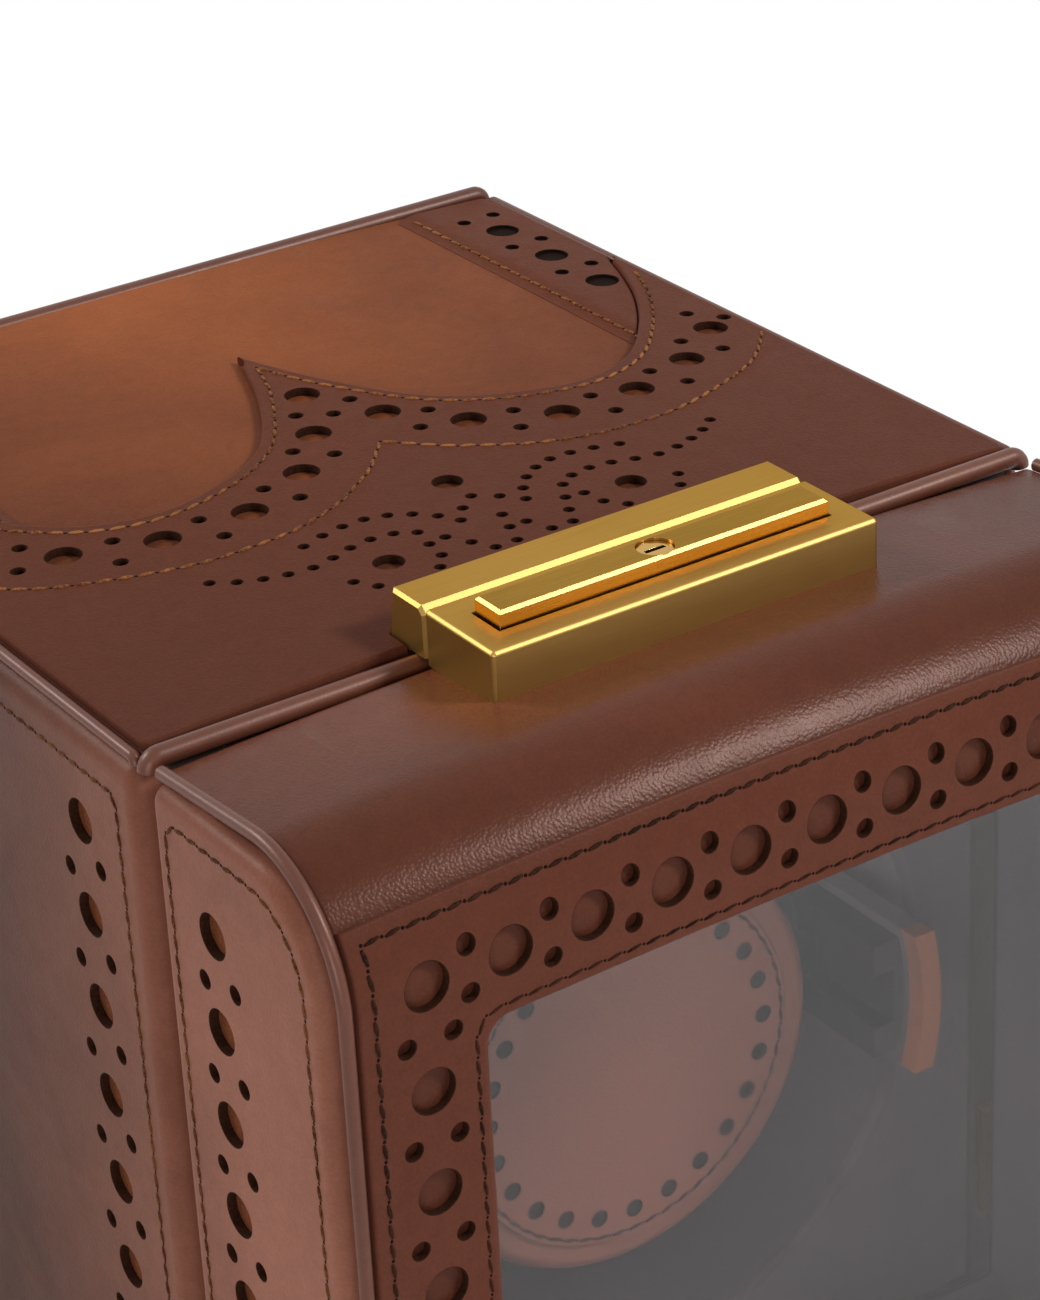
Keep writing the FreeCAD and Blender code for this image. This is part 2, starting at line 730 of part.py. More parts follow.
def front_overlay(leather):
    """Perforated leather frame round the window, bent over the cover's top edge."""
    trim = 6.3
    half = size.CoverHalf - 0.3
    blank = Part.makeBox(2 * half, size.CoverCorner, size.CoverTop - size.CoverFloor - 2 * trim,
                         Vector(-half, size.WrapFront - 2 * size.OverlayThick,
                                size.CoverFloor + trim))
    outer = cover_block(size.OverlayThick, size.CoverHalf)
    sheet = outer.cut(leather).common(blank)
    opening = window_block(-0.2, size.WrapFront - 10, size.WrapFront + 10)
    left = -size.HalfWidth + size.FrameHoleInset
    top = size.Crest - size.TopHoleDrop
    floor = size.FootHeight + size.TopHoleDrop
    columns = 11
    rows = 9
    pitch = -2 * left / (columns - 1)
    rise = (top - floor) / (rows - 1)
    big = [(left + pitch * step, height) for step in range(columns) for height in (top, floor)]
    big += [(side, floor + rise * step) for step in range(1, rows - 1) for side in (left, -left)]
    punches = drills("Y", big, size.BigHole, size.WrapFront - 10, 20)
    return sheet.cut([opening] + punches)


def build_cover_panels():
    """Padded side panels of the cover and the ridge of piping beside each."""
    inset = size.CoverPanelInset
    profile = frame_profile(size.WrapFront + inset, size.CoverTop - inset - 0.8,
                            size.CoverFloor + inset, size.CoverCorner - inset,
                            size.CoverBack - 0.8)
    for name, side in (("left", -1), ("right", 1)):
        panel = across(profile, size.CoverHalf, size.HalfWidth)
        outside = [edge for edge in panel.Edges
                   if near(edge.BoundBox.XMin, size.HalfWidth)]
        panel = panel.makeFillet(size.CoverPanelRound, outside)
        if side < 0:
            panel = panel.mirror(Vector(), Vector(1, 0, 0))
        solid("cover_panel_" + name, panel.cut(hinge_reliefs()))
    path = cover_line(0.3, 0, size.CoverHalf + size.RidgeRadius)[1:]
    solids("cover_piping", both_sides(tube(path, size.RidgeRadius)))


def build_case_panels():
    """Padded leather side panels of the case."""
    for name, side in (("left", -1), ("right", 1)):
        panel = Part.makeBox(size.PanelThick, size.CarcassBack + 1.4 - size.Seam - 0.6,
                             size.CarcassTop - size.FootHeight - 1,
                             Vector(size.CarcassHalf, size.Seam + 0.6, size.FootHeight + 1))
        outside = [edge for edge in panel.Edges if near(edge.BoundBox.XMin, size.HalfWidth)]
        panel = panel.makeFillet(size.PanelRound, outside)
        if side < 0:
            panel = panel.mirror(Vector(), Vector(1, 0, 0))
        solid("side_panel_" + name, panel)


def build_feet():
    """Four round rubber feet, slightly tapered to the table."""
    feet = []
    for side in ("-", ""):
        for along in ("Seam + FootInset", "CarcassBack - FootInset"):
            foot = document.addObject("Part::Cone", "Foot")
            bind(foot, "Placement.Base.x", f"{side}(CarcassHalf - FootInset)")
            bind(foot, "Placement.Base.y", along)
            bind(foot, "Radius1", "FootRadius - 0.8")
            bind(foot, "Radius2", "FootRadius")
            bind(foot, "Height", "FootHeight")
            feet.append(foot)
    subpart("feet", group(*feet))


def build_well():
    """Front fascia and the round well that the drum turns in."""
    bench = Bench("fascia")
    outline = rectangle("-InnerHalf + 0.1", "InnerHalf - 0.1", "InnerFloor + 0.1", "InnerTop - 1.6")
    drawing = bench.drawing("XZ", "-Seam - FasciaFront", [outline], [("0", "AxisHeight", "WellInside")])
    bench.add("Pad", drawing, "FasciaThick", reverse=True)
    bench.edges("Fillet", "FasciaThick / 3",
                lambda box: near(box.XLength, 2 * size.WellInside) and near(box.YMax, box.YMin)
                and near(box.YMin, size.Seam + size.FasciaFront))
    bench.done()
    centre = ("0", "AxisHeight")
    outer = rod("Y", centre, ("FasciaBack", "WellBack"), "WellInside + WellWall")
    hollow = rod("Y", centre, ("FasciaBack - 1", "WellBack - WellWall"), "WellInside")
    bore = rod("Y", centre, ("WellBack - WellWall - 1", "WellBack + 1"), "BushRadius")
    subpart("drum_well", cut(outer, hollow, bore))


CORNER_SIGNS = ((-1, -1), (1, -1), (-1, 1), (1, 1))


def build_chassis():
    """Plates, spacers and screws that carry the drive behind the well."""
    bench = Bench("chassis_plate")
    outline = rectangle("-InnerHalf", "InnerHalf", "InnerFloor", "InnerTop")
    drawing = bench.drawing("XZ", "-WellBack", [outline], [("0", "AxisHeight", "BushRadius")])
    bench.add("Pad", drawing, "ChassisThick", reverse=True)
    bench.done()
    posts = []
    screws = []
    bores = []
    for right, up in CORNER_SIGNS:
        middle = (f"{right} * PostAcross", f"AxisHeight + {up} * PostRise")
        post = rod("Y", middle, ("ChassisBack", "PlateFront"), "SpacerRadius")
        bore = rod("Y", middle, ("ChassisBack - 1", "PlateFront + 1"), "1.55")
        posts.append(cut(post, bore))
        shank = rod("Y", middle, ("PlateFront - 8", "PlateBack"), "1.5")
        head = rod("Y", middle, ("PlateBack", "PlateBack + 1.8"), "2.8")
        screws.append(fuse(shank, head))
        bores.append(rod("Y", middle, ("PlateFront - 1", "PlateBack + 1"), "1.6"))
    subpart("plate_spacers", group(*posts))
    plate = box(("-PlateHalf", "PlateHalf"), ("PlateFront", "PlateBack"),
                ("AxisHeight - PlateRise", "AxisHeight + PlateRise"))
    rear = rod("Y", ("0", "AxisHeight"), ("PlateFront - 1", "PlateBack + 1"), "ShaftEndRadius + 3")
    nose = rod("Y", ("0", "MotorHeight"), ("PlateFront - 1", "PlateBack + 1"), "MotorShaft + 2.5")
    bores += [rod("Y", (f"{side} * MotorScrewAcross", "MotorHeight"), ("PlateFront - 1", "PlateBack + 1"), "1.05")
              for side in (-1, 1)]
    subpart("motor_plate", cut(plate, rear, nose, *bores))
    centre = ("0", "AxisHeight")
    sleeve = rod("Y", centre, ("WellBack - WellWall - 2", "ChassisBack + 1"), "BushRadius")
    bore = rod("Y", centre, ("WellBack - WellWall - 3", "ChassisBack + 2"),
               "ShaftRadius + ShaftClearance")
    subpart("front_bush", cut(sleeve, bore))
    sleeve = rod("Y", centre, ("PlateFront - 1", "PlateBack + 1"), "ShaftEndRadius + 3")
    bore = rod("Y", centre, ("PlateFront - 2", "PlateBack + 2"), "ShaftEndRadius + ShaftClearance")
    subpart("rear_bush", cut(sleeve, bore))
    return screws


def build_motor(plate_screws):
    """Geared motor behind the motor plate, with its nose through the plate."""
    centre = ("0", "MotorHeight")
    can = rod("Y", centre, ("PlateBack", "PlateBack + MotorLength"), "MotorRadius")
    nose = rod("Y", centre, ("PlateFront", "PlateBack"), "MotorShaft + 2.5")
    bore = rod("Y", centre, ("PlateFront - 1", "PlateBack + 9"), "MotorShaft + ShaftClearance")
    cap = rod("Y", centre, ("PlateBack + MotorLength", "PlateBack + MotorLength + 2"), "4")
    lugs = [box((f"{side} * 9 - 1.5", f"{side} * 9 + 1.5"),
                ("PlateBack + MotorLength", "PlateBack + MotorLength + 3"),
                ("MotorHeight - 0.4", "MotorHeight + 0.4")) for side in (-1, 1)]
    subpart("motor", cut(fuse(can, nose, cap, *lugs), bore))
    screws = [fuse(rod("Y", (f"{side} * MotorScrewAcross", "MotorHeight"), ("PlateFront - 1.6", "PlateFront"), "2"),
                   rod("Y", (f"{side} * MotorScrewAcross", "MotorHeight"), ("PlateFront", "PlateBack"), "1"))
              for side in (-1, 1)]
    subpart("drive_screws", group(*plate_screws, *screws))


def gear_wheel(teeth, height, front, thick, bore, half_pitch_turn):
    """Spur gear about Y with straight flanks between two points of the involute."""
    module = size.ToothModule
    pitch = module * teeth / 2
    root = pitch - 1.2 * module
    tip = pitch + 0.85 * module
    base = pitch * math.cos(math.radians(20))
    backlash = 0.14 * module

    def roll(radius):
        """Polar angle of the involute at a radius, from where it leaves the base circle."""
        ratio = max(radius / base, 1.0)
        spread = math.sqrt(ratio * ratio - 1)
        return spread - math.atan(spread)

    half_tooth = math.pi / (2 * teeth) - backlash / (2 * pitch)

    def place(radius, angle):
        return Vector(radius * math.cos(angle), front, height + radius * math.sin(angle))

    edges = []
    step = 2 * math.pi / teeth
    for tooth in range(teeth):
        middle = tooth * step + half_pitch_turn * step / 2
        flank = [(radius, half_tooth + roll(pitch) - roll(radius))
                 for radius in (root, tip)]
        rising = [place(radius, middle - angle) for radius, angle in flank]
        falling = [place(radius, middle + angle) for radius, angle in reversed(flank)]
        following = place(root, middle + step - flank[0][1])
        edges += [
            straight(*rising),
            straight(rising[-1], falling[0]),
            straight(*falling),
            straight(falling[-1], following),
        ]
    blank = Part.Face(Part.Wire(edges)).extrude(Vector(0, thick, 0))
    hole = Part.makeCylinder(bore, thick + 2, Vector(0, front - 1, height), Vector(0, 1, 0))
    return blank.cut(hole)


def build_drive():
    """Gears, drum shaft and the ring that keeps the shaft in its rear bush."""
    drum_gear = gear_wheel(int(size.DrumTeeth), size.AxisHeight, size.GearFront, size.GearWidth,
                           size.ShaftRadius, 0)
    slots = []
    for turn in range(5):
        angle = math.radians(90 + 72 * turn)
        middle = Vector(math.cos(angle) * 13.5, size.GearFront - 1, size.AxisHeight + math.sin(angle) * 13.5)
        slots.append(Part.makeCylinder(4.2, size.GearWidth + 2, middle, Vector(0, 1, 0)))
    solid("drum_gear", drum_gear.cut(slots))
    solid("motor_pinion", gear_wheel(int(size.MotorTeeth), size.MotorHeight, size.GearFront - 0.5,
                                     size.GearWidth + 1, size.MotorShaft, 1))
    subpart("motor_shaft", rod("Y", ("0", "MotorHeight"), ("GearFront - 1.5", "PlateBack + 8"),
                               "MotorShaft"))
    centre = ("0", "AxisHeight")
    thick = rod("Y", centre, ("DrumBack", "PlateFront - 1.4"), "ShaftRadius")
    thin = rod("Y", centre, ("PlateFront - 1.4", "PlateBack + 3.2"), "ShaftEndRadius")
    subpart("drum_shaft", fuse(thick, thin))
    ring = rod("Y", centre, ("PlateBack + 1.3", "PlateBack + 2.3"), "ShaftEndRadius + 2")
    bore = rod("Y", centre, ("PlateBack", "PlateBack + 4"), "ShaftEndRadius")
    mouth = box(("-1.6", "1.6"), ("PlateBack", "PlateBack + 4"), ("AxisHeight + 1", "AxisHeight + 9"))
    subpart("retaining_clip", cut(ring, bore, mouth))


def build_drum():
    """Open drum: a base disc, a ring, two ears that reach forward, and their edge trims."""
    centre = ("0", "AxisHeight")
    front = "DrumFront + TrimDepth"
    ring_front = "DrumBack - DrumBaseThick - DrumRingDepth"
    outer = rod("Y", centre, (front, "DrumBack"), "DrumRadius")
    hollow = rod("Y", centre, (front + " - 1", "DrumBack - DrumBaseThick"), "DrumInside")
    upper = box(("-DrumRadius - 1", "DrumRadius + 1"), (front + " - 1", ring_front),
                ("AxisHeight + EarHalf", "AxisHeight + DrumRadius + 1"))
    lower = box(("-DrumRadius - 1", "DrumRadius + 1"), (front + " - 1", ring_front),
                ("AxisHeight - DrumRadius - 1", "AxisHeight - EarHalf"))
    subpart("drum", cut(outer, hollow, upper, lower))
    shell = rod("Y", centre, ("DrumFront", front), "DrumRadius")
    inside = rod("Y", centre, ("DrumFront - 1", front + " + 1"), "DrumInside")
    ears = box(("-DrumRadius - 1", "DrumRadius + 1"), ("DrumFront", front),
               ("AxisHeight - EarHalf", "AxisHeight + EarHalf"))
    subpart("ear_trims", common(cut(shell, inside), ears))
    length = ("Seam - 6", "DrumBack - DrumBaseThick - 1")
    core = rod("Y", centre, length, "DrumInside")
    bar = box(("-DrumRadius", "DrumRadius"), length,
              ("AxisHeight - EarHalf + 2", "AxisHeight + EarHalf - 2"))
    well = box(("-TabReach + 3.2", "TabReach - 3.2"), ("Seam - 7", "DrumBack"),
               ("AxisHeight - EarHalf", "AxisHeight + EarHalf"))
    groove = box(("-TabReach - SlideClearance", "TabReach + SlideClearance"),
                 ("Seam - 7", "Seam + CuffFaceBack + PillowDepth + SlideClearance"),
                 ("AxisHeight - TabHalf - SlideClearance", "AxisHeight + TabHalf + SlideClearance"))
    subpart("drum_rails", cut(common(bar, core), well, groove))


def build_cuff():
    """Cuff that a watch is strapped round: face, disc, pillow and sliding end caps."""
    centre = ("0", "AxisHeight")
    disc = rod("Y", centre, ("CuffFront", "CuffBack"), "CuffFaceRadius")
    rim = document.addObject("Part::Fillet", "CuffRim")
    rim.Base = disc
    document.recompute()
    edge = [number for number, one in enumerate(disc.Shape.Edges, 1)
            if near(one.BoundBox.YLength, 0) and near(one.BoundBox.YMin, size.CuffFront)]
    rim.Edges = [(edge[0], size.CuffFaceThick * 0.55, size.CuffFaceThick * 0.55)]
    subpart("cuff_face", rim)
    subpart("cuff_disc", rod("Y", centre, ("CuffFront - CuffDiscThick", "CuffFront"),
                             "CuffDiscRadius"))
    solid("cuff_pillow", pillow())
    middle = size.CuffBack + size.PillowDepth / 2
    cap = across(oval(0, size.PillowRise - 4, size.PillowDepth / 2 - 2.5, middle),
                 size.PillowHalf, size.PillowHalf + size.CapThick)
    tab = Part.makeBox(size.TabReach - size.PillowHalf, size.PillowDepth - 9, 2 * size.TabHalf,
                       Vector(size.PillowHalf, size.CuffBack + 4.5, size.AxisHeight - size.TabHalf))
    solids("cuff_end_caps", both_sides(cap.fuse(tab)))


def oval(reach, rise, depth, middle):
    """Closed oval section across X of four arcs, its top and back fuller than an ellipse."""
    full = 0.76
    places = [(depth, 0), (depth * full, rise * full), (0, rise), (-depth * full, rise * full),
              (-depth, 0), (-depth * full, -rise * full), (0, -rise), (depth * full, -rise * full),
              (depth, 0)]
    points = [Vector(reach, middle + along, size.AxisHeight + up) for along, up in places]
    return Part.Wire([through(*points[start:start + 3]) for start in (0, 2, 4, 6)])


def pillow():
    """Cuff pillow: fullest at its middle, drawn in towards both end caps."""
    middle = size.CuffBack + size.PillowDepth / 2
    wires = []
    for share in (-1, -0.5, 0, 0.5, 1):
        slack = share * share
        wires.append(oval(share * size.PillowHalf, size.PillowRise - 3.2 * slack,
                          size.PillowDepth / 2 - 0.8 - 2.2 * slack, middle))
    return Part.makeLoft(wires, True, False)


def build_controls():
    """Control panel in the back opening with its knob, button and power inlet."""
    outline = (("-InnerHalf + 8", "InnerHalf - 8"), ("ControlFace - 2", "ControlFace"),
               ("InnerFloor + 4", "ControlHeightMiddle + ControlHeight / 2 + 6"))
    spindle = rod("Y", ("KnobAcross", "ControlHeightMiddle"), ("ControlFace - 3", "ControlFace + 1"), "3.4")
    key = rod("Y", ("ButtonAcross", "ControlHeightMiddle"), ("ControlFace - 3", "ControlFace + 1"), "4.3")
    jack = rod("Y", ("InletAcross", "ControlHeightMiddle"), ("ControlFace - 3", "ControlFace + 1"), "4")
    subpart("control_panel", cut(box(*outline), spindle, key, jack))
    barrel = rod("Y", ("InletAcross", "ControlHeightMiddle"), ("ControlFace - 12", "ControlFace + 1.2"), "4")
    flange = rod("Y", ("InletAcross", "ControlHeightMiddle"), ("ControlFace", "ControlFace + 1.2"), "5.5")
    bore = rod("Y", ("InletAcross", "ControlHeightMiddle"), ("ControlFace - 9", "ControlFace + 2"), "2.8")
    pin = rod("Y", ("InletAcross", "ControlHeightMiddle"), ("ControlFace - 10", "ControlFace"), "1")
    subpart("power_inlet", fuse(cut(fuse(barrel, flange), bore), pin))
    grip = rod("Y", ("KnobAcross", "ControlHeightMiddle"), ("ControlFace + 0.6", "ControlFace + 6"), "KnobRadius")
    stem = rod("Y", ("KnobAcross", "ControlHeightMiddle"), ("ControlFace - 9", "ControlFace + 3"), "3")
    flutes = []
    for turn in range(12):
        angle = math.radians(30 * turn)
        flutes.append(rod("Y", (f"KnobAcross + (KnobRadius + 1.1) * {math.cos(angle):.5f}",
                                f"ControlHeightMiddle + (KnobRadius + 1.1) * {math.sin(angle):.5f}"),
                          ("ControlFace", "ControlFace + 7"), "1.8"))
    mark = box(("KnobAcross - 0.5", "KnobAcross + 0.5"), ("ControlFace + 5.4", "ControlFace + 7"),
               ("ControlHeightMiddle + 1", "ControlHeightMiddle + 6"))
    subpart("mode_knob", fuse(cut(grip, mark, *flutes), stem))
    switch = box(("KnobAcross - 6", "KnobAcross + 6"), ("ControlFace - 14", "ControlFace - 3"),
                 ("ControlHeightMiddle - 6", "ControlHeightMiddle + 6"))
    socket = rod("Y", ("KnobAcross", "ControlHeightMiddle"), ("ControlFace - 9.5", "ControlFace"), "3.1")
    switch = cut(switch, socket)
    cap = rod("Y", ("ButtonAcross", "ControlHeightMiddle"), ("ControlFace - 4", "ControlFace + 4"), "4")
    flange = rod("Y", ("ButtonAcross", "ControlHeightMiddle"), ("ControlFace - 5", "ControlFace - 3.8"), "5")
    subpart("power_button", fuse(cap, flange))
    board = box(("-30", "34"), ("ControlFace - 15.6", "ControlFace - 14"),
                ("InnerFloor + 6", "ControlHeightMiddle + ControlHeight / 2 + 4"))
    chips = [box((left, right), ("ControlFace - 14", "ControlFace - 12"),
                 ("ControlHeightMiddle + 12", "ControlHeightMiddle + 18"))
             for left, right in (("-10", "4"), ("10", "16"))]
    tact = box(("-1", "5"), ("ControlFace - 14", "ControlFace - 7"),
               ("ControlHeightMiddle - 3", "ControlHeightMiddle + 3"))
    subpart("circuit_board", fuse(board, tact, switch, *chips))
    posts = [rod("Y", (x, z), ("ControlFace - 14", "ControlFace - 2"), "2.5")
             for x in ("-27", "31") for z in ("InnerFloor + 9", "ControlHeightMiddle + ControlHeight / 2 + 1")]
    subpart("board_posts", group(*posts))


def latch_screw_bores():
    """Bores and counterbores for the two screws that hold the latch from inside."""
    middle = size.BarMiddle
    bores = []
    for side in (-1, 1):
        for radius, low, high in ((1.25, size.FrameTop - 12, size.Crest + 1),
                                  (2.3, size.FrameTop - 12, size.FrameTop - 4)):
            bores.append(Part.makeCylinder(radius, high - low, Vector(side * size.LatchScrewAcross, middle, low)))
    return bores


def build_latch_block():
    """Brass latch block on the cover: a bevelled shell with a slot for the push bar."""
    bench = Bench("latch_block")
    half = "LatchLength / 2"
    top = rectangle("-" + half, half, "BlockFront", "BlockBack")
    bench.add("Pad", bench.drawing("XY", "BlockFloor", [top]), "BlockTop - BlockFloor")
    inside = rectangle(f"-{half} + LatchWall", half + " - LatchWall", "BlockFront + LatchWall",
                       "BlockBack - LatchWall")
    bench.add("Pocket", bench.drawing("XY", "BlockFloor", [inside]),
              "BlockTop - BlockFloor - LatchWall", reverse=True)
    slot = rectangle("-BarLength / 2 - BarSlack", "BarLength / 2 + BarSlack",
                     "BarMiddle - BarWidth / 2 - BarSlack", "BarMiddle + BarWidth / 2 + BarSlack")
    bench.add("Pocket", bench.drawing("XY", "BlockTop", [slot]), "LatchWall * 2")
    mouth = rectangle("-TongueHalf - 1.5", "TongueHalf + 1.5", "TongueFloor - 0.6",
                      "TongueFloor + TongueThick + 0.6")
    bench.add("Pocket", bench.drawing("XZ", "-BlockBack", [mouth]), "LatchWall * 3", middle=True)
    bench.edges("Chamfer", "LatchBevel",
                lambda box: (near(box.ZMax, size.BlockTop) and near(box.ZMin, size.BlockTop)
                             and (box.XLength > size.BarLength + 2
                                  or box.YLength > size.BarWidth + 2))
                or (box.ZLength > 6 and near(abs(box.XMin), size.LatchLength / 2)))
    bench.done()
    plate = box(("-LatchLength / 2 + LatchWall + 0.1", "LatchLength / 2 - LatchWall - 0.1"),
                ("BlockFront + LatchWall + 0.1", "BlockBack - LatchWall - 0.1"),
                ("BlockFloor", "BlockFloor + 1"))
    window = box(("-10", "10"), ("TongueFront - 1.4", "BlockBack - LatchWall - 0.4"),
                 ("BlockFloor - 1", "BlockFloor + 2"))
    bores = [rod("Z", (f"{side} * LatchScrewAcross", "BarMiddle"), ("BlockFloor - 1", "BlockFloor + 2"), "1.25")
             for side in (-1, 1)]
    subpart("latch_base", cut(plate, window, *bores))
    screws = [fuse(rod("Z", (f"{side} * LatchScrewAcross", "BarMiddle"), ("FrameTop - 4", "BlockFloor + 1"), "1.2"),
                   rod("Z", (f"{side} * LatchScrewAcross", "BarMiddle"), ("FrameTop - 5.4", "FrameTop - 4"), "2.2"))
              for side in (-1, 1)]
    subpart("latch_screws", group(*screws))
    springs = [cut(rod("Z", (f"{side} * SpringAcross", "BarMiddle"), ("BlockFloor + 1", "BlockFloor + 1 + SpringHeight"), "1.5"),
                   rod("Z", (f"{side} * SpringAcross", "BarMiddle"), ("BlockFloor", "BlockFloor + 6"), "1.1"))
               for side in (-1, 1)]
    subpart("latch_springs", group(*springs))


def build_push_bar():
    """Push bar with its flange and catch frame, and the lock that turns in it."""
    flange_floor = "BlockFloor + 1 + SpringHeight"
    bar = box(("-BarLength / 2", "BarLength / 2"),
              ("BarMiddle - BarWidth / 2", "BarMiddle + BarWidth / 2"),
              (flange_floor, "BlockTop + BarProud"), name="BarBlank")
    bevelled = document.addObject("Part::Chamfer", "BarBevel")
    bevelled.Base = bar
    document.recompute()
    rim = [number for number, edge in enumerate(bar.Shape.Edges, 1)
           if near(edge.BoundBox.ZMin, size.BlockTop + size.BarProud)]
    bevelled.Edges = [(number, size.LatchBevel, size.LatchBevel) for number in rim]
    flange = box(("-BarLength / 2 - 1.6", "BarLength / 2 + 1.6"),
                 ("BarMiddle - BarWidth / 2 - 1.6", "BarMiddle + BarWidth / 2 + 1.6"),
                 (flange_floor, flange_floor + " + 1.2"))
    bore = rod("Z", ("0", "BarMiddle"), (flange_floor + " + 1.3", "BlockTop + BarProud + 1"),
               "LockRadius + ShaftClearance")
    stem = rod("Z", ("0", "BarMiddle"), (flange_floor + " - 1", flange_floor + " + 2"), "1.25")
    subpart("push_bar", cut(fuse(bevelled, flange), bore, stem))
    legs = [box((f"{side} * 8 - 0.8", f"{side} * 8 + 0.8"), ("TongueFront + 1.4", "TongueFront + 3.3"),
                ("TongueFloor - 0.7", flange_floor)) for side in (-1, 1)]
    rail = box(("-8.8", "8.8"), ("TongueFront + 1.4", "TongueFront + 3.3"),
               ("TongueFloor - 0.7", "TongueFloor - 0.15"))
    subpart("catch_frame", fuse(rail, *legs))
    cylinder = rod("Z", ("0", "BarMiddle"), (flange_floor + " + 1.35", "BlockTop + BarProud - 0.4"),
                   "LockRadius")
    spindle = rod("Z", ("0", "BarMiddle"), (flange_floor + " - 1.0", flange_floor + " + 1.4"), "1.2")
    tail = box(("-0.9", "0.9"), ("BarMiddle - 4.4", "BarMiddle"),
               (flange_floor + " - 1.0", flange_floor + " - 0.2"))
    keyway = box(("-1.5", "1.5"), ("BarMiddle - 0.35", "BarMiddle + 0.35"),
                 ("BlockTop + BarProud - 2.4", "BlockTop + BarProud"))
    subpart("lock_cylinder", cut(fuse(cylinder, spindle, tail), keyway))


def build_keeper():
    """Keeper on the case: a bevelled brass bar over the piping, and its tongue."""
    bench = Bench("keeper")
    floor = "Crest - TopDrop"
    side_view = [
        ("KeeperFront", "Crest + 0.1"),
        ("Seam + PipingRadius + 0.5", "Crest + 0.1"),
        ("Seam + PipingRadius + 0.5", floor),
        ("KeeperBack + KeeperSlope", floor),
        ("KeeperBack + KeeperSlope", floor + " + 0.6"),
        ("KeeperBack", "BlockTop"),
        ("KeeperFront + KeeperBevel", "BlockTop"),
        ("KeeperFront", "BlockTop - KeeperBevel"),
    ]
    bench.add("Pad", bench.drawing("YZ", "HalfWidth - HalfWidth", [side_view]), "LatchLength", middle=True)
    slot = rectangle("-TongueHalf", "TongueHalf", "TongueFloor", "TongueFloor + TongueThick")
    bench.add("Pocket", bench.drawing("XZ", "-KeeperFront", [slot]), "KeeperDepth - 1.4")
    bores = [(f"{side} * KeeperScrewAcross", "Seam + KeeperScrewBack", "1.1") for side in (-1, 1)]
    bench.add("Pocket", bench.drawing("XY", floor, circles=bores), "4", reverse=True)
    bench.edges("Chamfer", "LatchBevel",
                lambda box: near(abs(box.XMin), size.LatchLength / 2) and near(box.XLength, 0)
                and box.ZMax > size.Crest + 1.5)
    bench.done()
    plate = box(("-TongueHalf", "TongueHalf"), ("TongueFront", "KeeperFront + KeeperDepth - 1.4"),
                ("TongueFloor", "TongueFloor + TongueThick"))
    window = box(("-3", "3"), ("TongueFront + 1.2", "TongueFront + 3.8"),
                 ("TongueFloor - 1", "TongueFloor + TongueThick + 1"))
    subpart("keeper_tongue", cut(plate, window))
    screws = []
    for side in (-1, 1):
        middle = (f"{side} * KeeperScrewAcross", "Seam + KeeperScrewBack")
        screws.append(fuse(rod("Z", middle, ("InnerTop", floor + " + 3.6"), "1.05"),
                           rod("Z", middle, ("InnerTop - 1.4", "InnerTop"), "2.2")))
    subpart("keeper_screws", group(*screws))


def drill_keeper_bores():
    """Clears the keeper screws' way through the carcass and the top leather."""
    for label in ("carcass", "top_panel"):
        bores = [rod("Z", (f"{side} * KeeperScrewAcross", "Seam + KeeperScrewBack"), ("InnerTop - 2", "Crest + 1"), "1.15")
                 for side in (-1, 1)]
        blank = subparts[label]
        blank.Label = label + "_blank"
        subpart(label, cut(blank, *bores))


def hinge_leaf(side, height):
    """One leaf with its knuckles; side 1 is the case's, side -1 the cover's."""
    line = size.HingeLine
    depth = size.HingeDepth
    low = height - size.HingeHeight / 2
    third = size.HingeHeight / 3
    slack = 0.15
    face = size.Seam - size.LeafThick if side > 0 else size.CoverBack
    inner = size.CarcassHalf - size.LeafWidth + 1.5
    leaf = Part.makeBox(line - 2.1 - inner, size.LeafThick, size.HingeHeight, Vector(inner, face, low))
    spans = [(0, third - slack), (2 * third + slack, third - slack)]
    if side < 0:
        spans = [(third + slack, third - 2 * slack)]
    bore = Part.makeCylinder(size.PinRadius + 0.03, size.HingeHeight + 2, Vector(line, depth, low - 1))
    for start, length in spans:
        knuckle = Part.makeCylinder(size.KnuckleRadius, length, Vector(line, depth, low + start))
        tab = Part.makeBox(2.2, size.LeafThick, length, Vector(line - 2.2, face, low + start))
        leaf = leaf.fuse([knuckle, tab])
    return leaf.cut(bore)


def build_hinges():
    """Two small butt hinges in the seam on the right side."""
    heights = hinge_heights()
    solids("hinge_leaves_case", [hinge_leaf(1, height) for height in heights])
    solids("hinge_leaves_cover", [hinge_leaf(-1, height) for height in heights])
    places = [Vector(size.HingeLine, size.HingeDepth, height - size.HingeHeight / 2)
              for height in heights]
    solids("hinge_pins", [Part.makeCylinder(size.PinRadius, size.HingeHeight, place)
                          for place in places])


def check_and_export():
    """Refuses a failed object or shape, then writes one file for each sub-part."""
    document.recompute()
    failed = [item.Label for item in document.Objects
              if "Invalid" in item.State or "Error" in item.State]
    if failed:
        raise RuntimeError("failed objects: " + ", ".join(failed))
    for label, piece in subparts.items():
        shape = piece.Shape
        if shape.isNull() or not shape.isValid() or shape.Volume <= 0:
            raise RuntimeError(label + " has no valid shape")
    os.makedirs("parts", exist_ok=True)
    for label, piece in subparts.items():
        piece.Shape.exportStep(f"parts/{label}.step")
    print(len(subparts), "sub-parts")


build_carcass()
build_skins()
build_top_overlays()
build_piping()
build_case_panels()
build_feet()
build_well()
build_motor(build_chassis())
build_drive()
build_drum()
build_cuff()
build_controls()
build_cover_shell()
build_cover_panels()
build_latch_block()
build_push_bar()
build_keeper()
drill_keeper_bores()
build_hinges()
check_and_export()
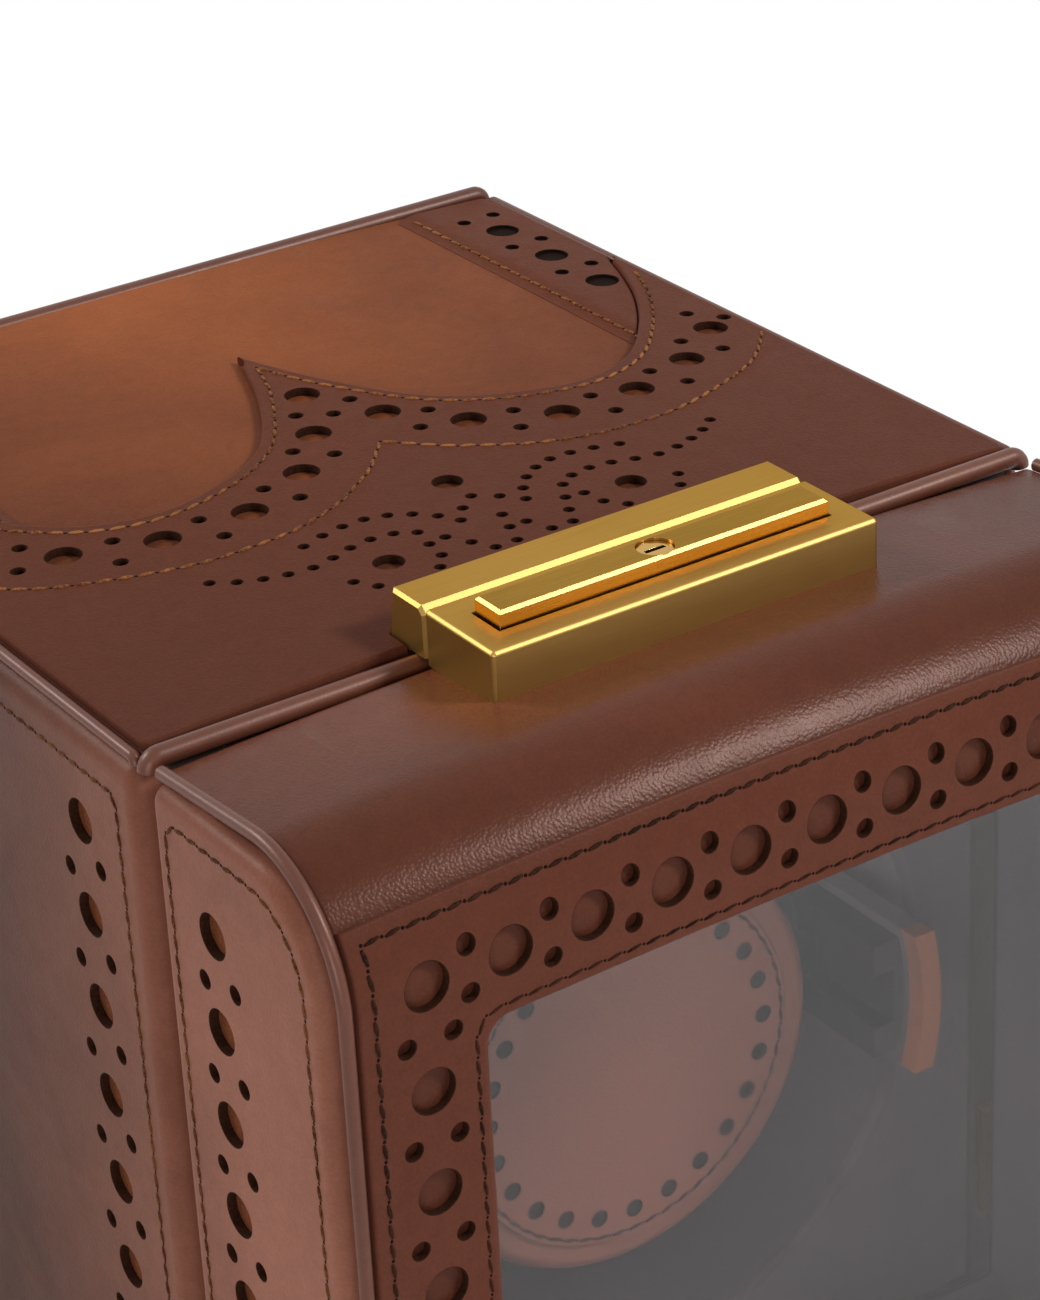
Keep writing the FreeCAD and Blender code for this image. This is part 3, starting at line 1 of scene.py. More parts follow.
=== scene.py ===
"""Looks of a leather-clad single watch winder, built round its CAD frame.

Everything is in metres. X goes to the right, Y to the back and Z up. "Seam" is the upright
plane where the case meets its glazed cover, and "crest" is the top of the bead along it.
"""

import json
import logging
import math
from dataclasses import dataclass
from enum import Enum
from typing import Callable, Iterable, Sequence

import bmesh
import bpy
from mathutils import Matrix, Vector


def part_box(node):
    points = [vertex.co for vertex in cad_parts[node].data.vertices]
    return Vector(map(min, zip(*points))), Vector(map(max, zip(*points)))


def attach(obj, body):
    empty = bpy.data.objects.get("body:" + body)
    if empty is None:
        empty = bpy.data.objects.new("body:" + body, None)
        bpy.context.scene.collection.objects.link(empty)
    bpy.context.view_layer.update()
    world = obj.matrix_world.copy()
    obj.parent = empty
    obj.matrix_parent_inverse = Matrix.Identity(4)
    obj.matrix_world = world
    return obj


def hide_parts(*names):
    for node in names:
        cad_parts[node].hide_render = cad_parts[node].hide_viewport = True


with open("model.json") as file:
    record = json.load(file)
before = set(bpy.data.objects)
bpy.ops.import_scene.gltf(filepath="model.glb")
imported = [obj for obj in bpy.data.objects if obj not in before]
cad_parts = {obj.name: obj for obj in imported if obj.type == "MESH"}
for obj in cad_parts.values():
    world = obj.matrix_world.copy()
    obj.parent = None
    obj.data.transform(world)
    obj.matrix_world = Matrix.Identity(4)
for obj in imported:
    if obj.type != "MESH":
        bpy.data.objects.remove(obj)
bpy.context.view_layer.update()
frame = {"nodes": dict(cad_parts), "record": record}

LOG = logging.getLogger("winder")
MM = 0.001

Point = tuple[float, float]
Colour = tuple[float, float, float]
Place = Callable[[float, float, float], Vector]


def low(node: str) -> Vector:
    """Lowest corner of a CAD node."""
    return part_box(node)[0]


def high(node: str) -> Vector:
    """Highest corner of a CAD node."""
    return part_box(node)[1]


SEAM = low("carcass").y
CREST = high("piping_front").z
FOOT = high("feet").z
HALF_WIDTH = high("side_panel_right").x
AXIS = (low("drum").z + high("drum").z) / 2
WINDOW_LAP = 2 * MM
WINDOW_LEFT = low("window_glass").x + WINDOW_LAP
WINDOW_TOP = high("window_glass").z - WINDOW_LAP
WINDOW_FLOOR = low("window_glass").z + WINDOW_LAP
WINDOW_CORNER = 3 * MM
BIG_HOLE = 2.9 * MM
SMALL_HOLE = 1.2 * MM
PIECE_MERGE = 0.002 * MM
CUT_MERGE = 0.04 * MM
SAME_PLACE = 1e-7
BEAD_CREASE = 60
NO_CREASE = 180
CLOUD_SPAN = (0.3, 0.7)
SUM_SPAN = (0.7, 1.3)


# ---------------------------------------------------------------- finishes


class Nodes:
    """Small builder for one procedural material."""

    def __init__(self, name: str) -> None:
        """Starts a material with its shader and an object-space coordinate."""
        self.material = bpy.data.materials.new(name)
        self.material.use_nodes = True
        self.tree = self.material.node_tree
        self.tree.nodes.clear()
        self.output = self.tree.nodes.new("ShaderNodeOutputMaterial")
        self.shader = self.tree.nodes.new("ShaderNodeBsdfPrincipled")
        self.link(self.shader.outputs["BSDF"], self.output.inputs["Surface"])
        self.space = self.tree.nodes.new("ShaderNodeTexCoord").outputs["Object"]

    def link(self, start: bpy.types.NodeSocket, end: bpy.types.NodeSocket) -> None:
        """Joins two sockets."""
        self.tree.links.new(start, end)

    def add(self, kind: str, **values: object) -> bpy.types.Node:
        """Adds a node and sets its own properties.

        Args:
            kind: Blender's name of the node.
            values: properties to set on it.

        Returns:
            The new node.
        """
        node = self.tree.nodes.new(kind)
        for name, value in values.items():
            setattr(node, name, value)
        return node

    def mapped(self, place: Sequence[float] = (0, 0, 0), scale: Sequence[float] = (1, 1, 1),
               turn: Sequence[float] = (0, 0, 0)) -> bpy.types.NodeSocket:
        """Object space moved, turned and scaled.

        Args:
            place: shift after the scale.
            scale: stretch along each axis.
            turn: turn about each axis, in radians.

        Returns:
            The vector socket.
        """
        node = self.add("ShaderNodeMapping")
        node.inputs["Location"].default_value = place
        node.inputs["Scale"].default_value = scale
        node.inputs["Rotation"].default_value = turn
        self.link(self.space, node.inputs["Vector"])
        return node.outputs["Vector"]

    def noise(self, scale: float, detail: float = 3.0, rough: float = 0.5,
              space: bpy.types.NodeSocket | None = None, warp: float = 0.0) -> bpy.types.NodeSocket:
        """Cloudy variation.

        Args:
            scale: waves in a metre.
            detail: number of finer layers.
            rough: strength of the finer layers.
            space: vector to read, or None for object space.
            warp: how far the clouds are drawn out.

        Returns:
            The factor socket.
        """
        node = self.add("ShaderNodeTexNoise")
        node.inputs["Scale"].default_value = scale
        node.inputs["Detail"].default_value = detail
        node.inputs["Roughness"].default_value = rough
        node.inputs["Distortion"].default_value = warp
        self.link(space or self.space, node.inputs["Vector"])
        return node.outputs["Fac"]

    def cells(self, scale: float, space: bpy.types.NodeSocket | None = None) -> bpy.types.NodeSocket:
        """Distance to the creases between the pebbles of a grain.

        Args:
            scale: pebbles in a metre.
            space: vector to read, or None for object space.

        Returns:
            The distance socket.
        """
        node = self.add("ShaderNodeTexVoronoi", feature="SMOOTH_F1")
        node.inputs["Scale"].default_value = scale
        node.inputs["Smoothness"].default_value = 0.6
        node.inputs["Randomness"].default_value = 0.9
        self.link(space or self.space, node.inputs["Vector"])
        return node.outputs["Distance"]

    def ramp(self, factor: bpy.types.NodeSocket,
             stops: Sequence[tuple[float, Colour]]) -> bpy.types.NodeSocket:
        """Colour picked from a few stops.

        Args:
            factor: value that picks the colour.
            stops: place and colour of each stop, in order.

        Returns:
            The colour socket.
        """
        node = self.add("ShaderNodeValToRGB")
        band = node.color_ramp
        while len(band.elements) < len(stops):
            band.elements.new(0.5)
        for element, (place, colour) in zip(band.elements, stops):
            element.position = place
            element.color = (*colour, 1)
        self.link(factor, node.inputs["Fac"])
        return node.outputs["Color"]

    def toned(self, value: bpy.types.NodeSocket, span: Point, dark: Colour,
              light: Colour) -> bpy.types.NodeSocket:
        """Colour between two tones, for a value that runs over a span."""
        return self.ramp(self.scaled(value, span, (0, 1)), ((0, dark), (1, light)))

    def scaled(self, value: bpy.types.NodeSocket, start: Point, end: Point,
               smooth: bool = False) -> bpy.types.NodeSocket:
        """Value carried from one span to another and kept inside it.

        Args:
            value: socket to read.
            start: lowest and highest value that comes in.
            end: what those two become.
            smooth: whether the change eases in and out.

        Returns:
            The result socket.
        """
        node = self.add("ShaderNodeMapRange", clamp=True,
                        interpolation_type="SMOOTHSTEP" if smooth else "LINEAR")
        for name, number in zip(("From Min", "From Max", "To Min", "To Max"), (*start, *end)):
            node.inputs[name].default_value = number
        self.link(value, node.inputs["Value"])
        return node.outputs["Result"]

    def sum(self, first: bpy.types.NodeSocket, second: bpy.types.NodeSocket) -> bpy.types.NodeSocket:
        """Two values added together."""
        return self.maths("ADD", first, second)

    def maths(self, operation: str, first: bpy.types.NodeSocket,
              second: bpy.types.NodeSocket) -> bpy.types.NodeSocket:
        """Two values joined by one operation."""
        node = self.add("ShaderNodeMath", operation=operation)
        self.link(first, node.inputs[0])
        self.link(second, node.inputs[1])
        return node.outputs["Value"]

    def distance(self, centre: Vector, reach: Sequence[float]) -> bpy.types.NodeSocket:
        """How far a place is from a centre, where 1 is the reach along each axis."""
        scale = [1 / span for span in reach]
        shift = [-middle * part for middle, part in zip(centre, scale)]
        node = self.add("ShaderNodeVectorMath", operation="LENGTH")
        self.link(self.mapped(shift, scale), node.inputs[0])
        return node.outputs["Value"]

    def tint(self, colour: bpy.types.NodeSocket, factor: bpy.types.NodeSocket) -> bpy.types.NodeSocket:
        """Colour darkened where the factor is low."""
        node = self.add("ShaderNodeMix", data_type="RGBA", blend_type="MULTIPLY")
        node.inputs["Factor"].default_value = 1.0
        self.link(colour, node.inputs["A"])
        self.link(factor, node.inputs["B"])
        return node.outputs["Result"]

    def bump(self, height: bpy.types.NodeSocket, strength: float, depth: float,
             under: bpy.types.NodeSocket | None = None) -> bpy.types.NodeSocket:
        """Fine relief.

        Args:
            height: relief to read.
            strength: share of the relief that shows.
            depth: height of the relief in metres.
            under: normal of a coarser relief below it.

        Returns:
            The normal socket.
        """
        node = self.add("ShaderNodeBump")
        node.inputs["Strength"].default_value = strength
        node.inputs["Distance"].default_value = depth
        self.link(height, node.inputs["Height"])
        if under:
            self.link(under, node.inputs["Normal"])
        return node.outputs["Normal"]

    def swap(self, factor: bpy.types.NodeSocket, other: bpy.types.NodeSocket) -> None:
        """Shows another shader in place of the main one as far as a factor says."""
        either = self.add("ShaderNodeMixShader")
        self.link(factor, either.inputs["Fac"])
        self.link(self.shader.outputs["BSDF"], either.inputs[1])
        self.link(other, either.inputs[2])
        self.link(either.outputs["Shader"], self.output.inputs["Surface"])

    def wear(self, **values: object) -> None:
        """Sets plain numbers and colours on the shader, or joins sockets to it."""
        names = {"colour": "Base Color", "rough": "Roughness", "metal": "Metallic", "normal": "Normal",
                 "sheen": "Sheen Weight", "clear": "Transmission Weight", "bend": "IOR",
                 "gloss": "Specular IOR Level", "shine": "Specular Tint"}
        for name, value in values.items():
            socket = self.shader.inputs[names[name]]
            if isinstance(value, bpy.types.NodeSocket):
                self.link(value, socket)
            else:
                socket.default_value = (*value, 1) if isinstance(value, tuple) else value


@dataclass(frozen=True)
class Leather:
    """Patinated leather: tan where it was rubbed, burnished dark towards its edges, and darkened in the
    grain's creases as painted shade; the side hide's tan is partly painted sheen.
    """

    name: str
    tan: Colour
    brown: Colour
    dark: Colour
    centre: Vector
    reach: tuple[float, float, float]
    cloud: float = 0.25
    pebbles: float = 1500.0
    relief: float = 0.25
    rough: Point = (0.33, 0.44)
    gloss: float = 0.2
    shine: Colour = (1.0, 0.78, 0.7)

    def material(self) -> bpy.types.Material:
        """Builds the leather's nodes."""
        nodes = Nodes(self.name)
        far = nodes.distance(self.centre, self.reach)
        clouds = nodes.scaled(nodes.noise(26, 5, 0.6, warp=0.6), (0.25, 0.75),
                              (-self.cloud, self.cloud))
        shade = nodes.scaled(nodes.sum(far, clouds), (0.0, 1.6), (0.0, 1.0))
        colour = nodes.ramp(shade, ((0.0, self.tan), (0.5, self.brown), (1.0, self.dark)))
        mottle = nodes.scaled(nodes.noise(420, 4, 0.65), CLOUD_SPAN, (0.93, 1.06))
        colour = nodes.tint(colour, mottle)
        grain = nodes.cells(self.pebbles, nodes.mapped(turn=(0.3, 0.2, 0.5)))
        # Darker in the creases between the grain's pebbles: painted shade.
        crease = nodes.scaled(grain, (0.0, 0.7), (1.04, 0.9))
        colour = nodes.tint(colour, crease)
        fine = nodes.bump(nodes.noise(3400, 3, 0.6), self.relief, 0.03 * MM)
        pores = nodes.scaled(grain, (0.1, 0.8), (1.0, 0.0), smooth=True)
        normal = nodes.bump(pores, self.relief, 0.07 * MM, fine)
        normal = nodes.bump(nodes.noise(70, 2, 0.4), self.relief, 0.12 * MM, normal)
        satin = nodes.scaled(nodes.noise(240, 4, 0.6), CLOUD_SPAN, self.rough)
        nodes.wear(colour=colour, rough=satin, normal=normal, gloss=self.gloss, shine=self.shine)
        return nodes.material


@dataclass(frozen=True)
class CutEdge:
    """Fibrous tone where leather is cut or punched, and under a punched hole; the near-black tones for hole
    walls and needle holes are painted shade.
    """

    name: str
    light: Colour
    dark: Colour

    def material(self) -> bpy.types.Material:
        """Builds the fibre's nodes."""
        nodes = Nodes(self.name)
        fibre = nodes.noise(2600, 5, 0.7)
        colour = nodes.toned(fibre, CLOUD_SPAN, self.dark, self.light)
        nodes.wear(colour=colour, rough=0.8, gloss=0.06, normal=nodes.bump(fibre, 0.6, 0.08 * MM))
        return nodes.material


@dataclass(frozen=True)
class Metal:
    """Plated or turned metal with fine brushing along one axis."""

    name: str
    light: Colour
    dark: Colour
    rough: Point
    brush: tuple[float, float, float] = (120, 5200, 5200)
    relief: float = 0.05
    shine: Colour = (1.0, 1.0, 1.0)

    def material(self) -> bpy.types.Material:
        """Builds the metal's nodes."""
        nodes = Nodes(self.name)
        strokes = nodes.noise(1.0, 3, 0.6, nodes.mapped(scale=self.brush))
        haze = nodes.noise(38, 2, 0.4)
        tone = nodes.scaled(nodes.sum(strokes, haze), SUM_SPAN, (0, 1))
        colour = nodes.ramp(tone, ((0, self.dark), (1, self.light)))
        nodes.wear(colour=colour, metal=1.0, rough=nodes.scaled(tone, (0, 1), self.rough),
                   normal=nodes.bump(strokes, self.relief, 0.01 * MM), shine=self.shine)
        return nodes.material


@dataclass(frozen=True)
class Moulded:
    """Plastic, rubber or lacquer with a faint moulded texture."""

    name: str
    light: Colour
    dark: Colour
    rough: Point
    texture: float = 1800.0
    relief: float = 0.2

    def material(self) -> bpy.types.Material:
        """Builds the plastic's nodes."""
        nodes = Nodes(self.name)
        cloud = nodes.noise(90, 4, 0.6)
        colour = nodes.toned(cloud, CLOUD_SPAN, self.dark, self.light)
        nodes.wear(colour=colour, rough=nodes.scaled(cloud, CLOUD_SPAN, self.rough),
                   normal=nodes.bump(nodes.noise(self.texture, 3, 0.6), self.relief, 0.04 * MM))
        return nodes.material


@dataclass(frozen=True)
class Cloth:
    """Short napped lining cloth."""

    name: str
    light: Colour
    dark: Colour

    def material(self) -> bpy.types.Material:
        """Builds the cloth's nodes."""
        nodes = Nodes(self.name)
        nap = nodes.noise(2200, 5, 0.75)
        cloud = nodes.noise(45, 3, 0.5)
        colour = nodes.toned(nodes.sum(nap, cloud), SUM_SPAN, self.dark, self.light)
        nodes.wear(colour=colour, rough=0.9, sheen=0.35, normal=nodes.bump(nap, 0.5, 0.12 * MM))
        return nodes.material


@dataclass(frozen=True)
class Timber:
    """Plain sanded board inside the case."""

    name: str
    light: Colour
    dark: Colour

    def material(self) -> bpy.types.Material:
        """Builds the timber's nodes."""
        nodes = Nodes(self.name)
        streaks = nodes.noise(1.0, 6, 0.65, nodes.mapped(scale=(18, 18, 260)), warp=0.8)
        colour = nodes.toned(streaks, CLOUD_SPAN, self.dark, self.light)
        nodes.wear(colour=colour, rough=0.6, normal=nodes.bump(streaks, 0.3, 0.1 * MM))
        return nodes.material


@dataclass(frozen=True)
class Glass:
    """Faintly grey window glass with a trace of dust."""

    name: str
    tone: Colour

    def material(self) -> bpy.types.Material:
        """Builds the glass's nodes."""
        nodes = Nodes(self.name)
        dust = nodes.scaled(nodes.noise(60, 4, 0.6), (0.4, 0.75), (0.02, 0.06))
        nodes.wear(colour=self.tone, rough=dust, clear=1.0, bend=1.5)
        passing = nodes.add("ShaderNodeBsdfTransparent")
        passing.inputs["Color"].default_value = (*self.tone, 1)
        shadow = nodes.add("ShaderNodeLightPath").outputs["Is Shadow Ray"]
        nodes.swap(shadow, passing.outputs["BSDF"])
        return nodes.material


@dataclass(frozen=True)
class Thread:
    """Waxed sewing thread with the twist of its plies."""

    name: str
    light: Colour
    dark: Colour

    def material(self) -> bpy.types.Material:
        """Builds the thread's nodes."""
        nodes = Nodes(self.name)
        plies = nodes.noise(1900, 2, 0.4, warp=1.2)
        tone = nodes.sum(plies, nodes.scaled(nodes.noise(60, 2), CLOUD_SPAN, (-0.2, 0.2)))
        colour = nodes.toned(tone, CLOUD_SPAN, self.dark, self.light)
        nodes.wear(colour=colour, rough=0.6, gloss=0.05, normal=nodes.bump(plies, 0.6, 0.06 * MM))
        return nodes.material


TOP_CENTRE = Vector((0.004, SEAM + 0.13, CREST))
SIDE_SHEEN_CENTRE = Vector((0, SEAM - 0.026, CREST - 0.05))


class Finish(Enum):
    """Every finish of the object, by its slot or its own name."""

    TOP = Leather("top_hide", (0.36, 0.108, 0.037), (0.2, 0.062, 0.027), (0.088, 0.029, 0.019),
                  TOP_CENTRE, (0.066, 0.09, 0.2), pebbles=2200.0, gloss=0.015)
    WING = Leather("wing_hide", (0.16, 0.048, 0.023), (0.128, 0.039, 0.021), (0.112, 0.037, 0.023),
                   TOP_CENTRE, (0.1, 0.1, 0.2), pebbles=2200.0, gloss=0.02)
    COVER = Leather("cover_hide", (0.165, 0.05, 0.026), (0.105, 0.032, 0.018), (0.055, 0.016, 0.01),
                    Vector((-0.03, SEAM - 0.006, CREST)), (0.09, 0.04, 0.12), pebbles=2300.0,
                    relief=0.22, rough=(0.24, 0.29), gloss=0.105)
    # Side hide: the lighter pink-tan around its centre, on the cover's side panels, is partly the hide's
    # tone and partly painted sheen; it darkens away from there.
    SIDE = Leather("side_hide", (0.33, 0.132, 0.086), (0.19, 0.07, 0.043), (0.075, 0.028, 0.018),
                   SIDE_SHEEN_CENTRE, (0.2, 0.05, 0.16), pebbles=2300.0, relief=0.2,
                   rough=(0.34, 0.42), gloss=0.1)
    FRONT = Leather("front_hide", (0.125, 0.04, 0.024), (0.105, 0.033, 0.02), (0.08, 0.025, 0.016),
                    Vector((0, SEAM - 0.045, 0.09)), (0.1, 0.06, 0.1), pebbles=2200.0, gloss=0.06)
    PIPING = Leather("piping_hide", (0.16, 0.052, 0.028), (0.11, 0.035, 0.021), (0.065, 0.021, 0.015),
                     Vector((0, SEAM, CREST)), (0.1, 0.2, 0.08), pebbles=2600.0, relief=0.08,
                     rough=(0.36, 0.42), gloss=0.5)
    CUFF = Leather("cuff_hide", (0.27, 0.1, 0.06), (0.22, 0.08, 0.05), (0.14, 0.05, 0.032),
                   Vector((0, SEAM, AXIS)), (0.04, 0.05, 0.04), pebbles=2200.0)
    TAN = Leather("tan_hide", (0.42, 0.15, 0.058), (0.32, 0.11, 0.042), (0.17, 0.058, 0.025),
                  Vector((0, SEAM, AXIS)), (0.05, 0.1, 0.05), pebbles=2200.0)
    # Walls of punched holes: near black, painted shade inside the holes.
    SHADED_WALL = CutEdge("punched_wall_shade", (0.05, 0.017, 0.008), (0.012, 0.005, 0.003))
    BACKING = CutEdge("punched_floor", (0.2, 0.062, 0.024), (0.1, 0.03, 0.013))
    # Needle holes, and the walls and floors of the strips' and cuff's blind holes: near black, painted
    # shade.
    SHADED_PIT = CutEdge("needle_hole_shade", (0.012, 0.005, 0.003), (0.005, 0.002, 0.001))
    GOLD_THREAD = Thread("gold_thread", (0.36, 0.15, 0.052), (0.09, 0.03, 0.013))
    BROWN_THREAD = Thread("brown_thread", (0.16, 0.066, 0.025), (0.045, 0.016, 0.008))
    DARK_THREAD = Thread("dark_thread", (0.04, 0.014, 0.007), (0.012, 0.005, 0.003))
    BRASS = Metal("satin_brass", (0.42, 0.255, 0.078), (0.35, 0.207, 0.06), (0.4, 0.46),
                  shine=(0.88, 0.64, 0.32))
    BAR_BRASS = Metal("bar_brass", (0.34, 0.2, 0.055), (0.27, 0.157, 0.043), (0.24, 0.3),
                      shine=(0.85, 0.66, 0.42))
    BRIGHT_BRASS = Metal("polished_brass", (0.6, 0.37, 0.09), (0.5, 0.29, 0.065), (0.12, 0.2))
    STEEL = Metal("steel", (0.62, 0.62, 0.64), (0.45, 0.45, 0.47), (0.2, 0.36))
    BRONZE = Metal("sintered_bronze", (0.5, 0.33, 0.18), (0.36, 0.22, 0.11), (0.4, 0.6))
    BLACK = Moulded("black_plastic", (0.03, 0.03, 0.033), (0.016, 0.016, 0.018), (0.35, 0.5))
    GEAR = Moulded("gear_plastic", (0.8, 0.78, 0.72), (0.68, 0.66, 0.6), (0.35, 0.5))
    BOARD = Moulded("board_green", (0.03, 0.16, 0.07), (0.015, 0.09, 0.04), (0.3, 0.5))
    RUBBER = Moulded("foot_rubber", (0.035, 0.034, 0.034), (0.018, 0.018, 0.018), (0.7, 0.85))
    LINING = Cloth("lining_cloth", (0.078, 0.053, 0.057), (0.028, 0.019, 0.021))
    WOOD = Timber("case_wood", (0.5, 0.34, 0.2), (0.3, 0.18, 0.1))
    DARK_WOOD = Timber("dark_wood", (0.045, 0.024, 0.016), (0.02, 0.01, 0.007))
    GLASS = Glass("window_glass", (0.86, 0.85, 0.88))


SLOT_FINISH = {
    "case_wood": Finish.WOOD, "brown_leather": Finish.SIDE, "cover_leather": Finish.COVER,
    "top_leather": Finish.TOP, "piping_leather": Finish.PIPING, "tan_leather": Finish.TAN,
    "cuff_leather": Finish.CUFF, "lining_cloth": Finish.LINING, "latch_brass": Finish.BRASS,
    "window_glass": Finish.GLASS, "steel": Finish.STEEL, "sintered_bronze": Finish.BRONZE,
    "gear_plastic": Finish.GEAR, "black_plastic": Finish.BLACK, "board_green": Finish.BOARD,
    "foot_rubber": Finish.RUBBER,
}
# The cover frame and the carcass take a dark wood, so their edges read dark in the seam's gap.
HIDDEN_EDGES = {"cover_frame": Finish.DARK_WOOD, "carcass": Finish.DARK_WOOD}
_made: dict[Finish, bpy.types.Material] = {}


def dressed(finish: Finish) -> bpy.types.Material:
    """The finish's material, made once."""
    if finish not in _made:
        _made[finish] = finish.value.material()
    return _made[finish]


# ---------------------------------------------------------------- pieces


def keep(name: str, shape: bmesh.types.BMesh, body: str, finishes: Sequence[Finish],
         replaced: Iterable[str] = (), crease: float = 32.0) -> bpy.types.Object:
    """Turns a bmesh into a finished piece that rides on a body.

    Args:
        name: the piece's name.
        shape: its mesh, in place.
        body: CAD body that it moves with.
        finishes: materials in the order of the faces' indices.
        replaced: CAD nodes that it stands for.
        crease: sharpest angle in degrees that is still shaded smooth.

    Returns:
        The new object.
    """
    limit = math.radians(crease)
    for face in shape.faces:
        face.smooth = True
    for edge in shape.edges:
        edge.smooth = len(edge.link_faces) != 2 or edge.calc_face_angle(0) < limit
    mesh = bpy.data.meshes.new(name)
    shape.to_mesh(mesh)
    shape.free()
    for finish in finishes:
        mesh.materials.append(dressed(finish))
    piece = bpy.data.objects.new(name, mesh)
    bpy.context.scene.collection.objects.link(piece)
    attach(piece, body)
    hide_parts(*replaced)
    LOG.info("%s: %d faces on %s", name, len(mesh.polygons), body)
    return piece


def refined(name: str, node: str, body: str, finish: Finish, soften: float,
            steps: int = 2) -> bpy.types.Object:
    """Copy of a rigid CAD node with its sharp edges gently rounded.

    Args:
        name: the piece's name.
        node: CAD node that is copied and replaced.
        body: CAD body that it moves with.
        finish: its material.
        soften: width of the rounding.
        steps: number of faces across the rounding.

    Returns:
        The new object.
    """
    shape = bmesh.new()
    shape.from_mesh(frame["nodes"][node].data)
    bmesh.ops.remove_doubles(shape, verts=shape.verts, dist=PIECE_MERGE)
    bmesh.ops.dissolve_limit(shape, angle_limit=math.radians(1), verts=shape.verts, edges=shape.edges)
    sharp = [edge for edge in shape.edges
             if len(edge.link_faces) == 2 and edge.calc_face_angle(0) > math.radians(30)]
    if soften:
        bmesh.ops.bevel(shape, geom=sharp, offset=soften, offset_type="OFFSET", affect="EDGES",
                        segments=steps, profile=0.5, material=-1, clamp_overlap=True)
    piece = keep(name, shape, body, [finish], [node], crease=40)
    even = piece.modifiers.new("even_shading", "WEIGHTED_NORMAL")
    even.keep_sharp = True
    return piece


def circle(centre: Point, radius: float, sides: int) -> list[Point]:
    """Corners of a round outline."""
    return [(centre[0] + radius * math.cos(2 * math.pi * step / sides),
             centre[1] + radius * math.sin(2 * math.pi * step / sides)) for step in range(sides)]


def rounded_box(left: float, right: float, floor: float, top: float, radius: float,
                steps: int = 6) -> list[Point]:
    """Corners of an upright outline with round corners."""
    outline = []
    for across, up, start in ((right, floor, -90), (right, top, 0), (left, top, 90), (left, floor, 180)):
        middle = (across - math.copysign(radius, across - left - 1e-9),
                  up - math.copysign(radius, up - floor - 1e-9))
        for step in range(steps + 1):
            angle = math.radians(start + 90 * step / steps)
            outline.append((middle[0] + radius * math.cos(angle), middle[1] + radius * math.sin(angle)))
    return outline


def smooth_line(points: Sequence[Point], pitch: float) -> list[Point]:
    """Evenly spaced places along a smooth curve through a few points.

    Args:
        points: places that the curve goes through.
        pitch: distance between the places that come back.

    Returns:
        The places, with both ends among them.
    """
    fine: list[Vector] = []
    ends = [Vector(points[0]) * 2 - Vector(points[1]), *map(Vector, points),
            Vector(points[-1]) * 2 - Vector(points[-2])]
    for before, start, end, after in zip(ends, ends[1:], ends[2:], ends[3:]):
        for step in range(16):
            share = step / 16
            fine.append(0.5 * (2 * start + (end - before) * share
                               + (2 * before - 5 * start + 4 * end - after) * share ** 2
                               + (3 * start - before - 3 * end + after) * share ** 3))
    fine.append(Vector(points[-1]))
    return spread(fine, pitch)


def spread(points: Sequence[Sequence[float]], pitch: float) -> list[Point]:
    """Evenly spaced places along straight runs, with both ends kept."""
    places = [Vector(point) for point in points]
    runs = [(end - start).length for start, end in zip(places, places[1:])]
    total = sum(runs)
    count = max(1, round(total / pitch))
    spots = []
    index, passed = 0, 0.0
    for step in range(count + 1):
        target = total * step / count
        while index < len(runs) - 1 and passed + runs[index] < target:
            passed += runs[index]
            index += 1
        share = (target - passed) / runs[index] if runs[index] else 0.0
        spot = places[index].lerp(places[index + 1], min(share, 1.0))
        spots.append((spot.x, spot.y))
    return spots


def paired(row: Sequence[Point], reach: float, lean: float = 0.0) -> list[Point]:
    """Two small dots at the middle of each step along a row of big holes."""
    dots = []
    for start, end in zip(row, row[1:]):
        heading = (Vector(end) - Vector(start)).normalized()
        side = Vector((-heading.y, heading.x))
        middle = (Vector(start) + Vector(end)) / 2
        for sign in (1, -1):
            dot = middle + side * reach * sign + heading * lean * sign
            dots.append((dot.x, dot.y))
    return dots


def corner_side(before: Vector, point: Vector, after: Vector) -> Vector:
    """Direction to the right of a walk at a corner, long enough to keep a mitre's width."""
    first, second = (point - before).normalized(), (after - point).normalized()
    middle = (first + second).normalized() if (first + second).length > 1e-6 else first
    side = Vector((middle.y, -middle.x))
    return side / max(side.dot(Vector((first.y, -first.x))), 0.66)


def mirrored(points: Sequence[Point]) -> list[Point]:
    """The points and their mirror images across the middle, each once."""
    return list(points) + [(-across, along) for across, along in points if across > 0.1 * MM]


@dataclass
class Loop:
    """One edge of a leather layer: its outline or a hole."""

    points: list[Point]
    hole: bool = True
    round: float = 0.12 * MM
    depth: float = 1.2 * MM
    blind: bool = False
    support: float = 0.06 * MM
    steps: int = 3
    raw: bool = True
    centre: Point | None = None

    def rings(self) -> list[Point]:
        """Steps outwards and down from the flat face, over the rounded edge to the bottom."""
        rows = [(self.support, 0.0)]
        for step in range(1, self.steps + 1):
            angle = math.pi / 2 * step / self.steps
            rows.append((self.support + self.round * math.sin(angle),
                         -self.round * (1 - math.cos(angle))))
        if self.depth > self.round:
            rows.append((rows[-1][0], -self.depth))
        return rows

    def start(self) -> list[Vector]:
        """The loop drawn back to where the flat face ends."""
        back = self.support + self.round
        points = [Vector(point) for point in self.points]
        if self.centre:
            return [point + (point - Vector(self.centre)).normalized() * back for point in points]
        area = sum(a.x * b.y - b.x * a.y for a, b in zip(points, points[1:] + points[:1])) / 2
        sign = math.copysign(1, area) * (-1 if self.hole else 1)
        return [point - corner_side(before, point, after) * sign * back for before, point, after
                in zip(points[-1:] + points[:-1], points, points[1:] + points[:1])]


def punched(centre: Point, radius: float, sides: int, **values: object) -> Loop:
    """Round hole in a layer."""
    return Loop(circle(centre, radius, sides), centre=centre, **values)


